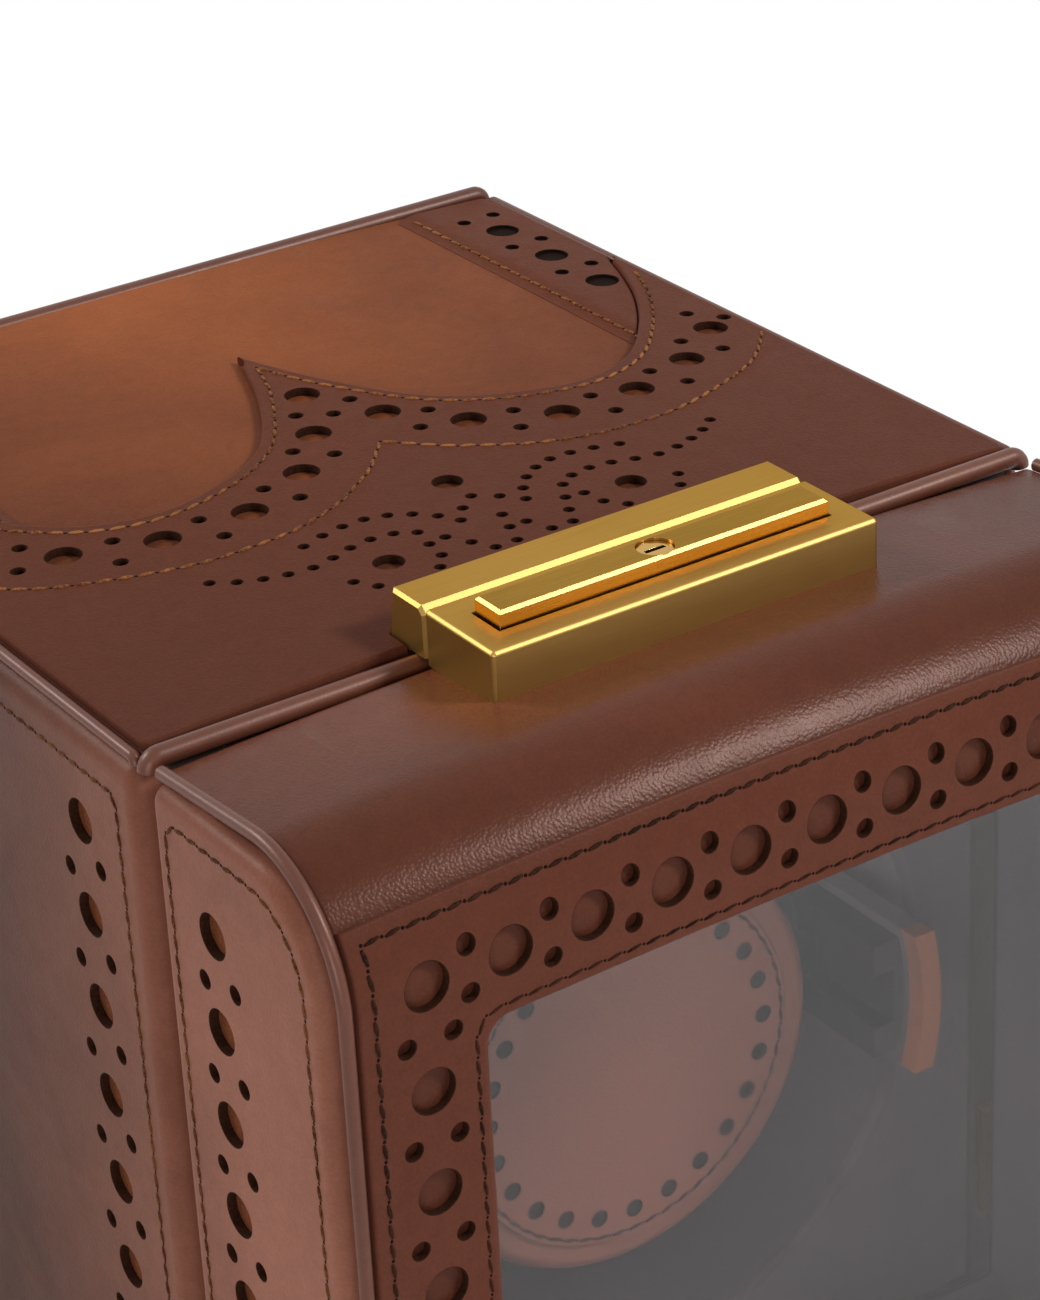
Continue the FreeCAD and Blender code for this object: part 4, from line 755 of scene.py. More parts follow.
@dataclass
class Layer:
    """A cut sheet of leather, laid on a surface, with rounded and punched edges."""

    loops: list[Loop]
    cuts_across: Sequence[float] = ()
    cuts_along: Sequence[float] = ()

    def build(self, place: Place) -> bmesh.types.BMesh:
        """Fills the outline between its holes, rounds its edges and lays it down.

        Args:
            place: turns across, along and height into a place in the object.

        Returns:
            The closed mesh: index 0 for the face, 1 for cut walls, 2 for the floors of blind holes.
        """
        shape = bmesh.new()
        for loop in self.loops:
            corners = [shape.verts.new((*point, 0)) for point in loop.start()]
            for start, end in zip(corners, corners[1:] + corners[:1]):
                shape.edges.new((start, end))
        bmesh.ops.triangle_fill(shape, use_beauty=True, use_dissolve=False, edges=shape.edges[:],
                                normal=(0, 0, 1))
        for cuts, direction in ((self.cuts_across, Vector((1, 0, 0))),
                                (self.cuts_along, Vector((0, 1, 0)))):
            for cut in cuts:
                bmesh.ops.bisect_plane(shape, geom=shape.verts[:] + shape.edges[:] + shape.faces[:],
                                       dist=SAME_PLACE, plane_co=direction * cut, plane_no=direction)
        bmesh.ops.remove_doubles(shape, verts=shape.verts, dist=CUT_MERGE)
        for face in shape.faces:
            face.normal_update()
            if face.normal.z < 0:
                face.normal_flip()
        top = shape.faces[:]
        depth = max(loop.depth for loop in self.loops)
        moved: dict[bmesh.types.BMVert, Vector] = {}
        for chain in self.chains(shape):
            self.turn_down(shape, chain, self.owner(chain), moved)
        self.close(shape, top, moved, depth)
        for vert in shape.verts:
            vert.co = place(*vert.co)
        bmesh.ops.recalc_face_normals(shape, faces=shape.faces)
        return shape

    @staticmethod
    def chains(shape: bmesh.types.BMesh) -> list[list[bmesh.types.BMVert]]:
        """The flat face's edges as closed rows of corners."""
        edges = {edge for edge in shape.edges if edge.is_boundary}
        rows = []
        while edges:
            edge = edges.pop()
            row = [edge.verts[0], edge.verts[1]]
            while True:
                following = [near for near in row[-1].link_edges if near in edges]
                if not following:
                    break
                edges.discard(following[0])
                row.append(following[0].other_vert(row[-1]))
            rows.append(row[:-1] if row[-1] is row[0] else row)
        return rows

    def owner(self, chain: list[bmesh.types.BMVert]) -> Loop:
        """The loop that a row of corners was drawn from."""
        middle = sum((vert.co for vert in chain), Vector()) / len(chain)
        reach = max((vert.co - middle).length for vert in chain)

        def misfit(loop: Loop) -> float:
            points = [Vector(point) for point in loop.points]
            centre = sum(points, Vector((0, 0))) / len(points)
            size = max((point - centre).length for point in points)
            return (middle.xy - centre).length + abs(size - reach)

        return min(self.loops, key=misfit)

    @staticmethod
    def turn_down(shape: bmesh.types.BMesh, chain: list[bmesh.types.BMVert], loop: Loop,
                  moved: dict[bmesh.types.BMVert, Vector]) -> None:
        """Extrudes one edge over its rounding to the bottom."""
        count = len(chain)
        outward = []
        for index, vert in enumerate(chain):
            after = chain[(index + 1) % count]
            if loop.centre:
                outward.append((Vector((*loop.centre, 0)) - vert.co).normalized())
                continue
            side = corner_side(chain[index - 1].co.xy, vert.co.xy, after.co.xy).to_3d()
            edge = next(near for near in vert.link_edges if near.other_vert(vert) is after)
            inner = edge.link_faces[0].calc_center_median() - (vert.co + after.co) / 2
            outward.append(-side if side.dot(inner) > 0 else side)
        start = [vert.co.copy() for vert in chain]
        row = chain
        rings = loop.rings()
        for number, (out, lift) in enumerate(rings):
            following = [shape.verts.new(base + side * out + Vector((0, 0, lift)))
                         for base, side in zip(start, outward)]
            for index in range(count):
                after = (index + 1) % count
                face = shape.faces.new((row[index], row[after], following[after], following[index]))
                # Walls of raw loops take slot 1, which on punched layers holds the painted shade of their
                # holes.
                face.material_index = 1 if loop.raw and number > 0 else 0
            row = following
        if loop.blind:
            # Blind floors take slot 2: the backing's own tone on the side panels, painted shade on the
            # strips and the cuff.
            floor = shape.faces.new(row)
            floor.material_index = 2
            return
        for vert, end in zip(chain, row):
            moved[vert] = end.co.copy()

    @staticmethod
    def close(shape: bmesh.types.BMesh, top: list[bmesh.types.BMFace],
              moved: dict[bmesh.types.BMVert, Vector], depth: float) -> None:
        """Gives the layer an underside that meets the foot of every wall."""
        copy = bmesh.ops.duplicate(shape, geom=top)
        pairs = copy["vert_map"]
        under = [item for item in copy["geom"] if isinstance(item, bmesh.types.BMVert)]
        for vert in under:
            end = moved.get(pairs.get(vert))
            vert.co = end if end is not None else Vector((vert.co.x, vert.co.y, -depth))
        faces = [item for item in copy["geom"] if isinstance(item, bmesh.types.BMFace)]
        bmesh.ops.reverse_faces(shape, faces=faces)
        bmesh.ops.remove_doubles(shape, verts=shape.verts, dist=SAME_PLACE)


def ball(sides: int, rows: int) -> tuple[list[Vector], list[tuple[int, ...]]]:
    """Corners and faces of a ball of radius 1, for things that are repeated often."""
    shape = bmesh.new()
    bmesh.ops.create_uvsphere(shape, u_segments=sides, v_segments=rows, radius=1)
    shape.verts.index_update()
    form = ([vert.co.copy() for vert in shape.verts],
            [tuple(vert.index for vert in face.verts) for face in shape.faces])
    shape.free()
    return form


STITCH_FORM = ball(6, 5)
PIT_FORM = ball(6, 3)


def stamp(shape: bmesh.types.BMesh, form: tuple[list[Vector], list[tuple[int, ...]]], place: Matrix,
          index: int) -> None:
    """Adds one copy of a repeated form to a mesh."""
    corners = [shape.verts.new(place @ corner) for corner in form[0]]
    for row in form[1]:
        shape.faces.new([corners[number] for number in row]).material_index = index


@dataclass
class Seam:
    """A row of stitches along a line on a surface."""

    line: list[Point]
    pitch: float = 2.75 * MM
    length: float = 2.45 * MM
    radius: float = 0.3 * MM
    lift: float = 0.02 * MM
    slant: float = math.radians(9)
    closed: bool = False

    def sew(self, shape: bmesh.types.BMesh, place: Place) -> None:
        """Adds the stitches and their needle holes to a mesh.

        Args:
            shape: mesh that takes them: index 0 for thread, 1 for needle holes.
            place: turns across, along and height into a place in the object.
        """
        spots = spread(self.line + self.line[:1] if self.closed else self.line, self.pitch)
        size = Matrix.Diagonal((self.length / 2, self.radius, self.radius * 0.8, 1))
        pit = Matrix.Diagonal((self.radius, self.radius * 0.9, 0.04 * MM, 1))
        for start, end in zip(spots, spots[1:]):
            middle = ((start[0] + end[0]) / 2, (start[1] + end[1]) / 2)
            along = (place(*end, 0) - place(*start, 0)).normalized()
            normal = (place(*middle, 1 * MM) - place(*middle, 0)).normalized()
            turn = Matrix.Rotation(self.slant, 3, normal)
            heading = turn @ along
            axes = Matrix((heading, normal.cross(heading), normal)).transposed().to_4x4()
            stamp(shape, STITCH_FORM, Matrix.Translation(place(*middle, self.lift)) @ axes @ size, 0)
            # A dark pit where the needle went in: painted shade.
            stamp(shape, PIT_FORM, Matrix.Translation(place(*start, 0)) @ axes @ pit, 1)


def sewn(name: str, seams: Sequence[Seam], place: Place, body: str,
         thread: Finish) -> bpy.types.Object:
    """Piece that holds all the stitches of some seams."""
    shape = bmesh.new()
    for seam in seams:
        seam.sew(shape, place)
    return keep(name, shape, body, [thread, Finish.SHADED_PIT], crease=NO_CREASE)


def tube(path: Sequence[Vector], radius: float, sides: int = 16) -> bmesh.types.BMesh:
    """Round bead along a row of places, closed at both ends and never twisted."""
    shape = bmesh.new()
    side = (path[1] - path[0]).normalized().orthogonal()
    rows = []
    for index, spot in enumerate(path):
        heading = (path[min(index + 1, len(path) - 1)] - path[max(index - 1, 0)]).normalized()
        side = (side - heading * side.dot(heading)).normalized()
        up = heading.cross(side)
        rows.append([shape.verts.new(spot + side * across + up * rise)
                     for across, rise in circle((0, 0), radius, sides)])
    for row, following in zip(rows, rows[1:]):
        for number in range(sides):
            after = (number + 1) % sides
            shape.faces.new((row[number], row[after], following[after], following[number]))
    for row in (rows[0], rows[-1]):
        shape.faces.new(row)
    bmesh.ops.recalc_face_normals(shape, faces=shape.faces)
    return shape


# ---------------------------------------------------------------- surfaces


@dataclass
class CrownedTop:
    """Surface of the top leather: highest along its middle, lower at its sides."""

    height: float = high("top_panel").z
    half: float = high("top_panel").x
    fall: float = 1.5 * MM

    def place(self, across: float, back: float, lift: float) -> Vector:
        """A place on the top, with back measured from the seam."""
        return Vector((across, SEAM + back, self.height + lift - self.fall * (across / self.half) ** 2))


@dataclass
class CoverProfile:
    """Surface of the cover, unrolled from the seam over the top and down the front."""

    corner: float = 16.0 * MM
    edge: float = 1.6 * MM
    slope: float = math.radians(4.5)
    crown: float = 1.6 * MM
    back: float = high("cover_wrap").y
    front: float = low("cover_wrap").y
    top: float = CREST - 0.2 * MM
    floor: float = low("cover_wrap").z
    half: float = high("cover_wrap").x

    def __post_init__(self) -> None:
        """Works out where each stretch of the profile starts."""
        self.axis = self.front + self.corner
        self.upper = self.top - self.corner
        self.lower = self.floor + self.corner
        self.tangent = math.pi / 2 - self.slope
        self.edge_along = self.back - self.edge
        leave = Vector((self.axis + self.corner * math.cos(self.tangent),
                        self.upper + self.corner * math.sin(self.tangent)))
        line = leave.y - (self.edge_along - leave.x) * math.tan(self.slope)
        self.edge_height = line - self.edge / math.cos(self.slope)
        turned = Vector((self.edge_along + self.edge * math.cos(self.tangent),
                         self.edge_height + self.edge * math.sin(self.tangent)))
        self.turned, self.leave = turned, leave
        self.at_flat = self.edge * self.tangent
        self.at_arc = self.at_flat + (leave - turned).length
        self.at_front = self.at_arc + self.corner * (math.pi - self.tangent)
        self.at_foot = self.at_front + self.upper - self.lower
        self.at_under = self.at_foot + self.corner * math.pi / 2
        self.length = self.at_under + self.back - self.axis

    def point(self, along: float) -> tuple[Vector, Vector, float]:
        """Place and normal in the YZ plane, and the share of the crown there."""
        if along < self.at_flat:
            angle = along / self.edge
            normal = Vector((math.cos(angle), math.sin(angle)))
            return Vector((self.edge_along, self.edge_height)) + normal * self.edge, normal, 1.0
        if along < self.at_arc:
            share = (along - self.at_flat) / (self.at_arc - self.at_flat)
            normal = Vector((math.cos(self.tangent), math.sin(self.tangent)))
            return self.turned.lerp(self.leave, share), normal, 1.0
        if along < self.at_front:
            angle = self.tangent + (along - self.at_arc) / self.corner
            normal = Vector((math.cos(angle), math.sin(angle)))
            return Vector((self.axis, self.upper)) + normal * self.corner, normal, 1.0
        if along < self.at_foot:
            share = (along - self.at_front) / (self.at_foot - self.at_front)
            return Vector((self.front, self.upper - (along - self.at_front))), Vector((-1, 0)), 1 - share
        if along < self.at_under:
            angle = math.pi + (along - self.at_foot) / self.corner
            normal = Vector((math.cos(angle), math.sin(angle)))
            return Vector((self.axis, self.lower)) + normal * self.corner, normal, 0.0
        return Vector((self.axis + along - self.at_under, self.floor)), Vector((0, -1)), 0.0

    def place(self, across: float, along: float, lift: float) -> Vector:
        """A place on the cover's leather."""
        spot, normal, share = self.point(along)
        raised = self.crown * (1 - (across / self.half) ** 2) * share
        return Vector((across, spot.x + normal.x * lift, spot.y + normal.y * lift + raised))

    def along_at(self, across: float, height: float, lift: float = 0.0) -> float:
        """How far along the profile the front reaches a height."""
        crown = self.crown * (1 - (across / self.half) ** 2)
        centre = self.upper + crown
        if height > centre:
            angle = math.asin(min((height - centre) / (self.corner + lift), 1.0))
            return self.at_front - self.corner * angle
        return self.at_front + (centre - height) * (self.at_foot - self.at_front) / (centre - self.lower)

    def steps(self) -> list[float]:
        """Places along the profile where the leather bends and so needs a cut."""
        rows = [self.at_flat * step / 4 for step in range(1, 5)]
        rows += [self.at_arc + (self.at_front - self.at_arc) * step / 20 for step in range(21)]
        rows += [self.at_foot + (self.at_under - self.at_foot) * step / 12 for step in range(13)]
        return rows


@dataclass
class FlatSide:
    """Upright side face, across the seam direction; along is Y and up is Z."""

    face: float

    def place(self, along: float, up: float, lift: float) -> Vector:
        """A place on the side, with lift away from the object."""
        return Vector((self.face + math.copysign(lift, self.face * lift), along, up))


# ---------------------------------------------------------------- sub-assemblies


@dataclass
class TopLeather:
    """Crowned top, its winged overlay with the punched band, and the side strips."""

    thick: float = 1.2 * MM
    top_thick: float = 2.6 * MM
    top_corner: float = 0.8 * MM
    band_hole: float = 2.45 * MM
    band_dot: float = 1.0 * MM
    medallion_hole: float = 2.05 * MM
    medallion_dot: float = 0.78 * MM
    stitch_inset: float = 2.1 * MM
    strip_edge: float = 48.6 * MM
    strip_height: float = 0.6 * MM
    strip_hole_depth: float = 0.5 * MM
    pared: float = 4.5 * MM
    strip_line: float = 59.2 * MM
    strip_pitch: float = 13.4 * MM
    strip_start: float = 86.2 * MM
    wing_stitch: tuple[Point, ...] = ((0, 87.5), (3.2, 78.2), (9.6, 66.3), (15, 60.1), (23.4, 55.2),
                                      (34.5, 53.0), (44.7, 56.4), (53.4, 65.3), (60.2, 75.5), (64.5, 85.2))
    wing_edge: tuple[Point, ...] = ((0, 93), (4.9, 79.4), (11.1, 67.5), (16.3, 61.6), (24.2, 57.2),
                                    (34, 55.1), (43.6, 58.3), (51.9, 66.8), (58.4, 76.5), (62.8, 86),
                                    (65.4, 93.5))
    lower_stitch: tuple[Point, ...] = ((0, 54.5), (6.1, 47.6), (10.4, 44.4), (14, 41.8), (19.5, 39.4),
                                       (24.4, 38.1), (30, 37.8), (37, 38.1), (46, 40.8), (56.9, 46.2),
                                       (65.2, 54.6))
    band: tuple[Point, ...] = ((0, 75.0), (5.6, 62.7), (13.4, 53), (24.9, 47.1), (37.8, 47.5),
                               (49.9, 52.2), (59.8, 59.9))
    band_dots: tuple[Point, ...] = ((0, 66.6), (4.4, 69.4), (6.9, 55.1), (10.9, 59.4), (17.6, 46.4),
                                    (20, 51.8), (31.1, 43.1), (31.3, 49.4), (45.1, 45.5), (43, 51.6),
                                    (56.4, 52.4), (53.2, 58.1), (63.9, 62.2), (60.3, 66.4))
    swirl: tuple[Point, ...] = ((39.4, 32.6), (36.6, 30.5), (33.6, 29), (30.5, 28), (27.1, 27.5),
                                (23.7, 28.2), (20.5, 29.2), (17.2, 29.6), (14, 29.1), (11.4, 27.4),
                                (9.4, 23.9), (7.6, 20.5), (6, 17.3))
    scroll: tuple[Point, ...] = ((24.9, 33.5), (21.4, 34.6), (18, 35.2), (14.7, 35.2), (11.7, 34.2),
                                 (9, 32.4), (6.7, 29.8), (5.1, 26.8))
    core: tuple[Point, ...] = ((0, 32.1), (2.9, 29.7), (0, 24.8), (1.3, 21.1), (2.7, 17.3),
                               (12.1, 23.5), (12.6, 19.8), (14.6, 17.1), (25.3, 20.7), (23.5, 17.7))
    medallion: tuple[Point, ...] = ((0, 37.8), (18.9, 22.5))

    def __post_init__(self) -> None:
        """Takes the surface from the frame."""
        self.surface = CrownedTop()

    @staticmethod
    def metres(points: Sequence[Point]) -> list[Point]:
        """Pattern places, in metres."""
        return [(across * MM, back * MM) for across, back in points]

    def curved(self, points: Sequence[Point], pitch: float) -> list[Point]:
        """The smooth line through a side's points and its mirror image, with a sharp middle."""
        right = smooth_line(self.metres(points), pitch)
        return [(-across, back) for across, back in reversed(right[1:])] + right

    def build_top(self) -> None:
        """The plain crowned leather."""
        node = "top_panel"
        half = self.surface.half
        floor, ceiling = low(node).y - SEAM, high(node).y - SEAM
        outline = Loop(rounded_box(-half, half, floor, ceiling, self.top_corner), hole=False,
                       raw=False, round=0.6 * MM, depth=self.top_thick, steps=4)
        cuts = [half * step / 12 for step in range(-11, 12)]
        shape = Layer([outline], cuts).build(self.surface.place)
        keep("top_leather", shape, "case", [Finish.TOP, Finish.SHADED_WALL], [node])

    def build_wing(self) -> None:
        """The winged overlay with its band and medallion."""
        node = "wing_overlay"
        half = high(node).x
        floor = low(node).y - SEAM + 0.2 * MM
        back = high("keeper").y - SEAM + 0.3 * MM
        latch = high("keeper").x + 0.15 * MM
        edge = self.curved(self.wing_edge, 1.2 * MM)
        notch = [(half, floor), (latch, floor), (latch, back), (-latch, back), (-latch, floor),
                 (-half, floor)]
        walk = [(half, edge[-1][1])] + notch + [(-half, edge[0][1])]
        outline = edge + spread(walk, 2.0 * MM)[1:-1]
        loops = [Loop(outline, hole=False, raw=False, round=0.45 * MM, depth=self.thick, steps=4)]
        reach = self.thick * 1.02
        for pattern, radius, sides, soft in (
            (self.band, self.band_hole, 30, Loop.round),
            (self.band_dots, self.band_dot, 16, Loop.round),
            (self.medallion, self.medallion_hole, 28, Loop.round),
            (self.swirl + self.scroll + self.core, self.medallion_dot, 14, 0.08 * MM),
        ):
            loops += [punched(centre, radius, sides, depth=self.thick, round=soft)
                      for centre in mirrored(self.metres(pattern))]
        cuts = [half * step / 14 for step in range(-13, 14)]

        def raised(across: float, along: float, lift: float) -> Vector:
            return self.surface.place(across, along, lift + reach)

        keep("wing_leather", Layer(loops, cuts).build(raised), "case",
             [Finish.WING, Finish.SHADED_WALL], [node])
        for name, points in (("wing_stitches", self.wing_stitch), ("band_stitches", self.lower_stitch)):
            line = smooth_line(self.metres(points), 1 * MM)
            seams = [Seam(line), Seam([(-across, back) for across, back in line])]
            sewn(name, seams, raised, "case", Finish.GOLD_THREAD)

    def build_strips(self) -> None:
        """A punched strip along each side, from the wing to the back."""
        node = "side_strips"
        half = high(node).x
        end = high(node).y - SEAM
        edge = smooth_line(self.metres(self.wing_edge), 1.2 * MM)
        inner = [(across, back) for across, back in edge if across > self.strip_edge]
        inner = [(across, back + 0.25 * MM) for across, back in inner if across < half - 0.3 * MM]
        outline = [(half, inner[-1][1])] + inner[::-1] + spread(
            [(self.strip_edge, inner[0][1] + 0.4 * MM), (self.strip_edge, end), (half, end),
             (half, inner[-1][1])], 2.5 * MM)[:-1]
        count = int((end - self.strip_start) / self.strip_pitch) + 1
        row = [(self.strip_line, self.strip_start + self.strip_pitch * step) for step in range(count)]
        dots = paired(row, 2.9 * MM, -0.3 * MM)
        row = [spot for spot in row if spot[1] + self.band_hole < end - 0.8 * MM]
        for side in (-1, 1):
            def mirror(points: Sequence[Point]) -> list[Point]:
                return [(side * across, back) for across, back in points]

            loops = [Loop(mirror(outline), hole=False, raw=False, round=0.2 * MM,
                          depth=self.strip_height, steps=3)]
            for spots, radius, sides in ((row, self.band_hole, 28), (dots, self.band_dot, 16)):
                loops += [punched(spot, radius, sides, depth=self.strip_hole_depth, blind=True)
                          for spot in mirror(spots)]
            cuts = [side * (self.strip_edge + 0.6 * MM * step) for step in range(1, 28)]
            shape = Layer(loops, cuts).build(self.skived)
            name = "right" if side > 0 else "left"
            # The strip's blind holes are walled and floored in near black: painted shade.
            keep("strip_" + name, shape, "case",
                 [Finish.WING, Finish.SHADED_PIT, Finish.SHADED_PIT], [node])
            seam = Seam(mirror([(self.strip_edge + self.stitch_inset, inner[0][1]),
                                (self.strip_edge + self.stitch_inset, end - self.stitch_inset)]))
            sewn("strip_stitches_" + name, [seam], self.skived, "case",
                 Finish.GOLD_THREAD)

    def skived(self, across: float, along: float, lift: float) -> Vector:
        """A place on a side strip, which is pared away to nothing at its inner edge."""
        ease = min(1.0, max(0.0, (abs(across) - self.strip_edge) / self.pared))
        share = 0.1 + 0.9 * ease * ease * (3 - 2 * ease)
        return self.surface.place(across, along, (self.strip_height + lift) * share + 0.02 * MM)

    def build(self) -> None:
        """Builds all the top's leather."""
        self.build_top()
        self.build_wing()
        self.build_strips()


@dataclass
class Piping:
    """Beads round the case's top and along the cover's edges."""

    bead: float = 1.4 * MM
    side_bead: float = 0.8 * MM
    ridge: float = 0.9 * MM

    @staticmethod
    def run(start: Vector, end: Vector, bend: float) -> list[Vector]:
        """Bead's path between two stubs, with a quarter bend down at each end."""
        heading = (end - start).normalized()
        down = Vector((0, 0, -bend))
        path = []
        for corner, inward in ((start, heading), (end, -heading)):
            centre = corner + inward * bend + down
            turn = [centre - inward * bend * math.cos(math.radians(angle))
                    - down * math.sin(math.radians(angle)) for angle in range(0, 91, 15)]
            path += turn if corner is start else turn[::-1]
        return path

    def build(self) -> None:
        """Builds every bead."""
        height = CREST - self.bead
        bend = height - high("carcass").z
        for name, node in (("bead_front", "piping_front"), ("bead_back", "piping_back")):
            lowest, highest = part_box(node)
            middle = (lowest.y + highest.y) / 2
            path = self.run(Vector((lowest.x + self.bead, middle, height)),
                            Vector((highest.x - self.bead, middle, height)), bend)
            keep(name, tube(path, self.bead), "case", [Finish.PIPING], [node],
                 BEAD_CREASE)
        lowest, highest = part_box("piping_sides")
        height = highest.z - self.side_bead
        for side, name in ((-1, "left"), (1, "right")):
            reach = side * (highest.x - self.side_bead)
            path = self.run(Vector((reach, lowest.y + self.side_bead, height)),
                            Vector((reach, highest.y - self.side_bead, height)),
                            height - high("carcass").z)
            piece = keep("bead_" + name, tube(path, self.side_bead, 14), "case",
                         [Finish.PIPING], (), BEAD_CREASE)
            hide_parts("piping_sides")
        profile = CoverProfile()
        for side, name in ((-1, "left"), (1, "right")):
            rows = [profile.at_flat + (profile.length - profile.at_flat) * step / 150
                    for step in range(151)]
            reach = side * (profile.half + self.ridge)
            path = []
            for along in rows:
                spot, normal, _ = profile.point(along)
                path.append(Vector((reach, spot.x + normal.x * 0.3 * MM, spot.y + normal.y * 0.3 * MM)))
            piece = keep("ridge_" + name, tube(path, self.ridge, 12), "cover",
                         [Finish.PIPING], (), BEAD_CREASE)
            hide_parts("cover_piping")


@dataclass
class CoverLeather:
    """Leather wrapped over the cover and the punched frame round its window."""

    wrap: float = 2.0 * MM
    overlay: float = 1.2 * MM
    overlay_rise: float = 35.6
    edge_pitch: float = 3.0 * MM
    stitch_inset: float = 1.9 * MM
    columns: int = 11
    rows: int = 9
    pair_reach: float = 3.1 * MM
    hole_inset: float = 12.0 * MM
    hole_drop: float = 14.1 * MM
    seat_inset: float = 0.8 * MM

    def __post_init__(self) -> None:
        """Takes the cover's profile from the frame."""
        self.profile = CoverProfile()

    def window(self, grow: float) -> Loop:
        """The window's outline in the unrolled leather."""
        top = self.profile.along_at(0, WINDOW_TOP)
        floor = self.profile.along_at(0, WINDOW_FLOOR)
        points = rounded_box(WINDOW_LEFT - grow, -WINDOW_LEFT + grow, top - grow, floor + grow,
                             WINDOW_CORNER)
        return Loop(points, round=1.1 * MM, depth=self.wrap, steps=6, raw=False)

    def build_wrap(self) -> None:
        """The smooth leather."""
        profile = self.profile
        half = profile.half
        walk = [(-half, 0.3 * MM), (half, 0.3 * MM), (half, profile.length), (-half, profile.length)]
        outline = Loop(spread(walk + walk[:1], self.edge_pitch)[:-1], hole=False, raw=False, round=0.5 * MM,
                       depth=self.wrap, steps=3)
        seat = Loop(rounded_box(self.seat_inset - high("latch_block").x,
                                high("latch_block").x - self.seat_inset, profile.at_flat,
                                profile.back - low("latch_block").y - self.seat_inset, 0.6 * MM),
                    depth=self.wrap, raw=False)
        cuts_across = [half * step / 16 for step in range(-15, 16)]
        shape = Layer([outline, self.window(0), seat], cuts_across,
                      profile.steps()).build(profile.place)
        keep("cover_hide", shape, "cover", [Finish.COVER, Finish.COVER],
             ["cover_wrap"])

    def holes(self) -> tuple[list[Point], list[Point]]:
        """Big holes and small dots of the frame, in the unrolled leather."""
        left = -HALF_WIDTH + self.hole_inset
        top = CREST - self.hole_drop
        floor = FOOT + self.hole_drop
        pitch = -2 * left / (self.columns - 1)
        rise = (top - floor) / (self.rows - 1)
        level = [[(left + pitch * step, height) for step in range(self.columns)]
                 for height in (top, floor)]
        upright = [[(side, floor + rise * step) for step in range(self.rows)] for side in (left, -left)]
        big = level[0] + level[1] + upright[0][1:-1] + upright[1][1:-1]
        small = [dot for row in level + upright for dot in paired(row, self.pair_reach)]

        def unrolled(points: Sequence[Point]) -> list[Point]:
            return [(x, self.profile.along_at(x * 0.35, z, self.overlay)) for x, z in points]

        return unrolled(big), unrolled(small)

    def build_frame(self) -> None:
        """The punched frame with its stitches."""
        profile = self.profile
        node = "front_overlay"
        half = high(node).x
        first = profile.at_front - profile.corner * math.radians(self.overlay_rise)
        last = profile.at_foot + profile.corner * math.radians(self.overlay_rise)
        walk = [(-half, first), (half, first), (half, last), (-half, last)]
        loops = [Loop(spread(walk + walk[:1], self.edge_pitch)[:-1], hole=False, raw=False, round=0.4 * MM,
                      depth=self.overlay, steps=4), self.window(0)]
        loops[1].depth = self.overlay
        big, small = self.holes()
        loops += [punched(spot, BIG_HOLE, 32) for spot in big]
        loops += [punched(spot, SMALL_HOLE, 18) for spot in small]
        cuts_along = [row for row in profile.steps() if first < row < last]
        cuts_across = [half * step / 16 for step in range(-15, 16)]

        def raised(across: float, along: float, lift: float) -> Vector:
            return profile.place(across, along, lift + self.overlay)

        shape = Layer(loops, cuts_across, cuts_along).build(raised)
        keep("frame_leather", shape, "cover", [Finish.FRONT, Finish.SHADED_WALL], [node])
        outer = self.stitch_inset + 0.2 * MM
        walk = [(-half + outer, first + outer), (half - outer, first + outer),
                (half - outer, last - outer), (-half + outer, last - outer)]
        outside = Seam(walk, closed=True)
        inside = Seam(self.window(self.stitch_inset).points, radius=0.25 * MM, closed=True)
        sewn("frame_stitches", [outside, inside], raised, "cover", Finish.DARK_THREAD)

    def build(self) -> None:
        """Builds the wrap and the frame."""
        self.build_wrap()
        self.build_frame()


@dataclass(frozen=True)
class PanelRow:
    """Column of big holes down a side panel, with two dots between each pair.

    Attributes:
        from_seam: place along Y, measured from the seam.
        drop: height of the first hole below the crest.
        shorter: how much less than crest to foot the column runs, with the drop.
        dot_shift: shift of the dots along Y.
        reach: distance of the dots from the column.
        lean: shift of the dots along the column, one up and one down.
    """

    from_seam: float
    drop: float
    shorter: float
    dot_shift: float
    reach: float
    lean: float
    count: int = 9

    def big(self) -> list[Point]:
        """Centres of the big holes."""
        top = CREST - self.drop
        pitch = (top - FOOT - self.shorter) / (self.count - 1)
        return [(SEAM + self.from_seam, top - pitch * step) for step in range(self.count)]

    def small(self) -> list[Point]:
        """Centres of the dots."""
        column = [(along + self.dot_shift, up) for along, up in self.big()]
        return paired(column, self.reach, self.lean)


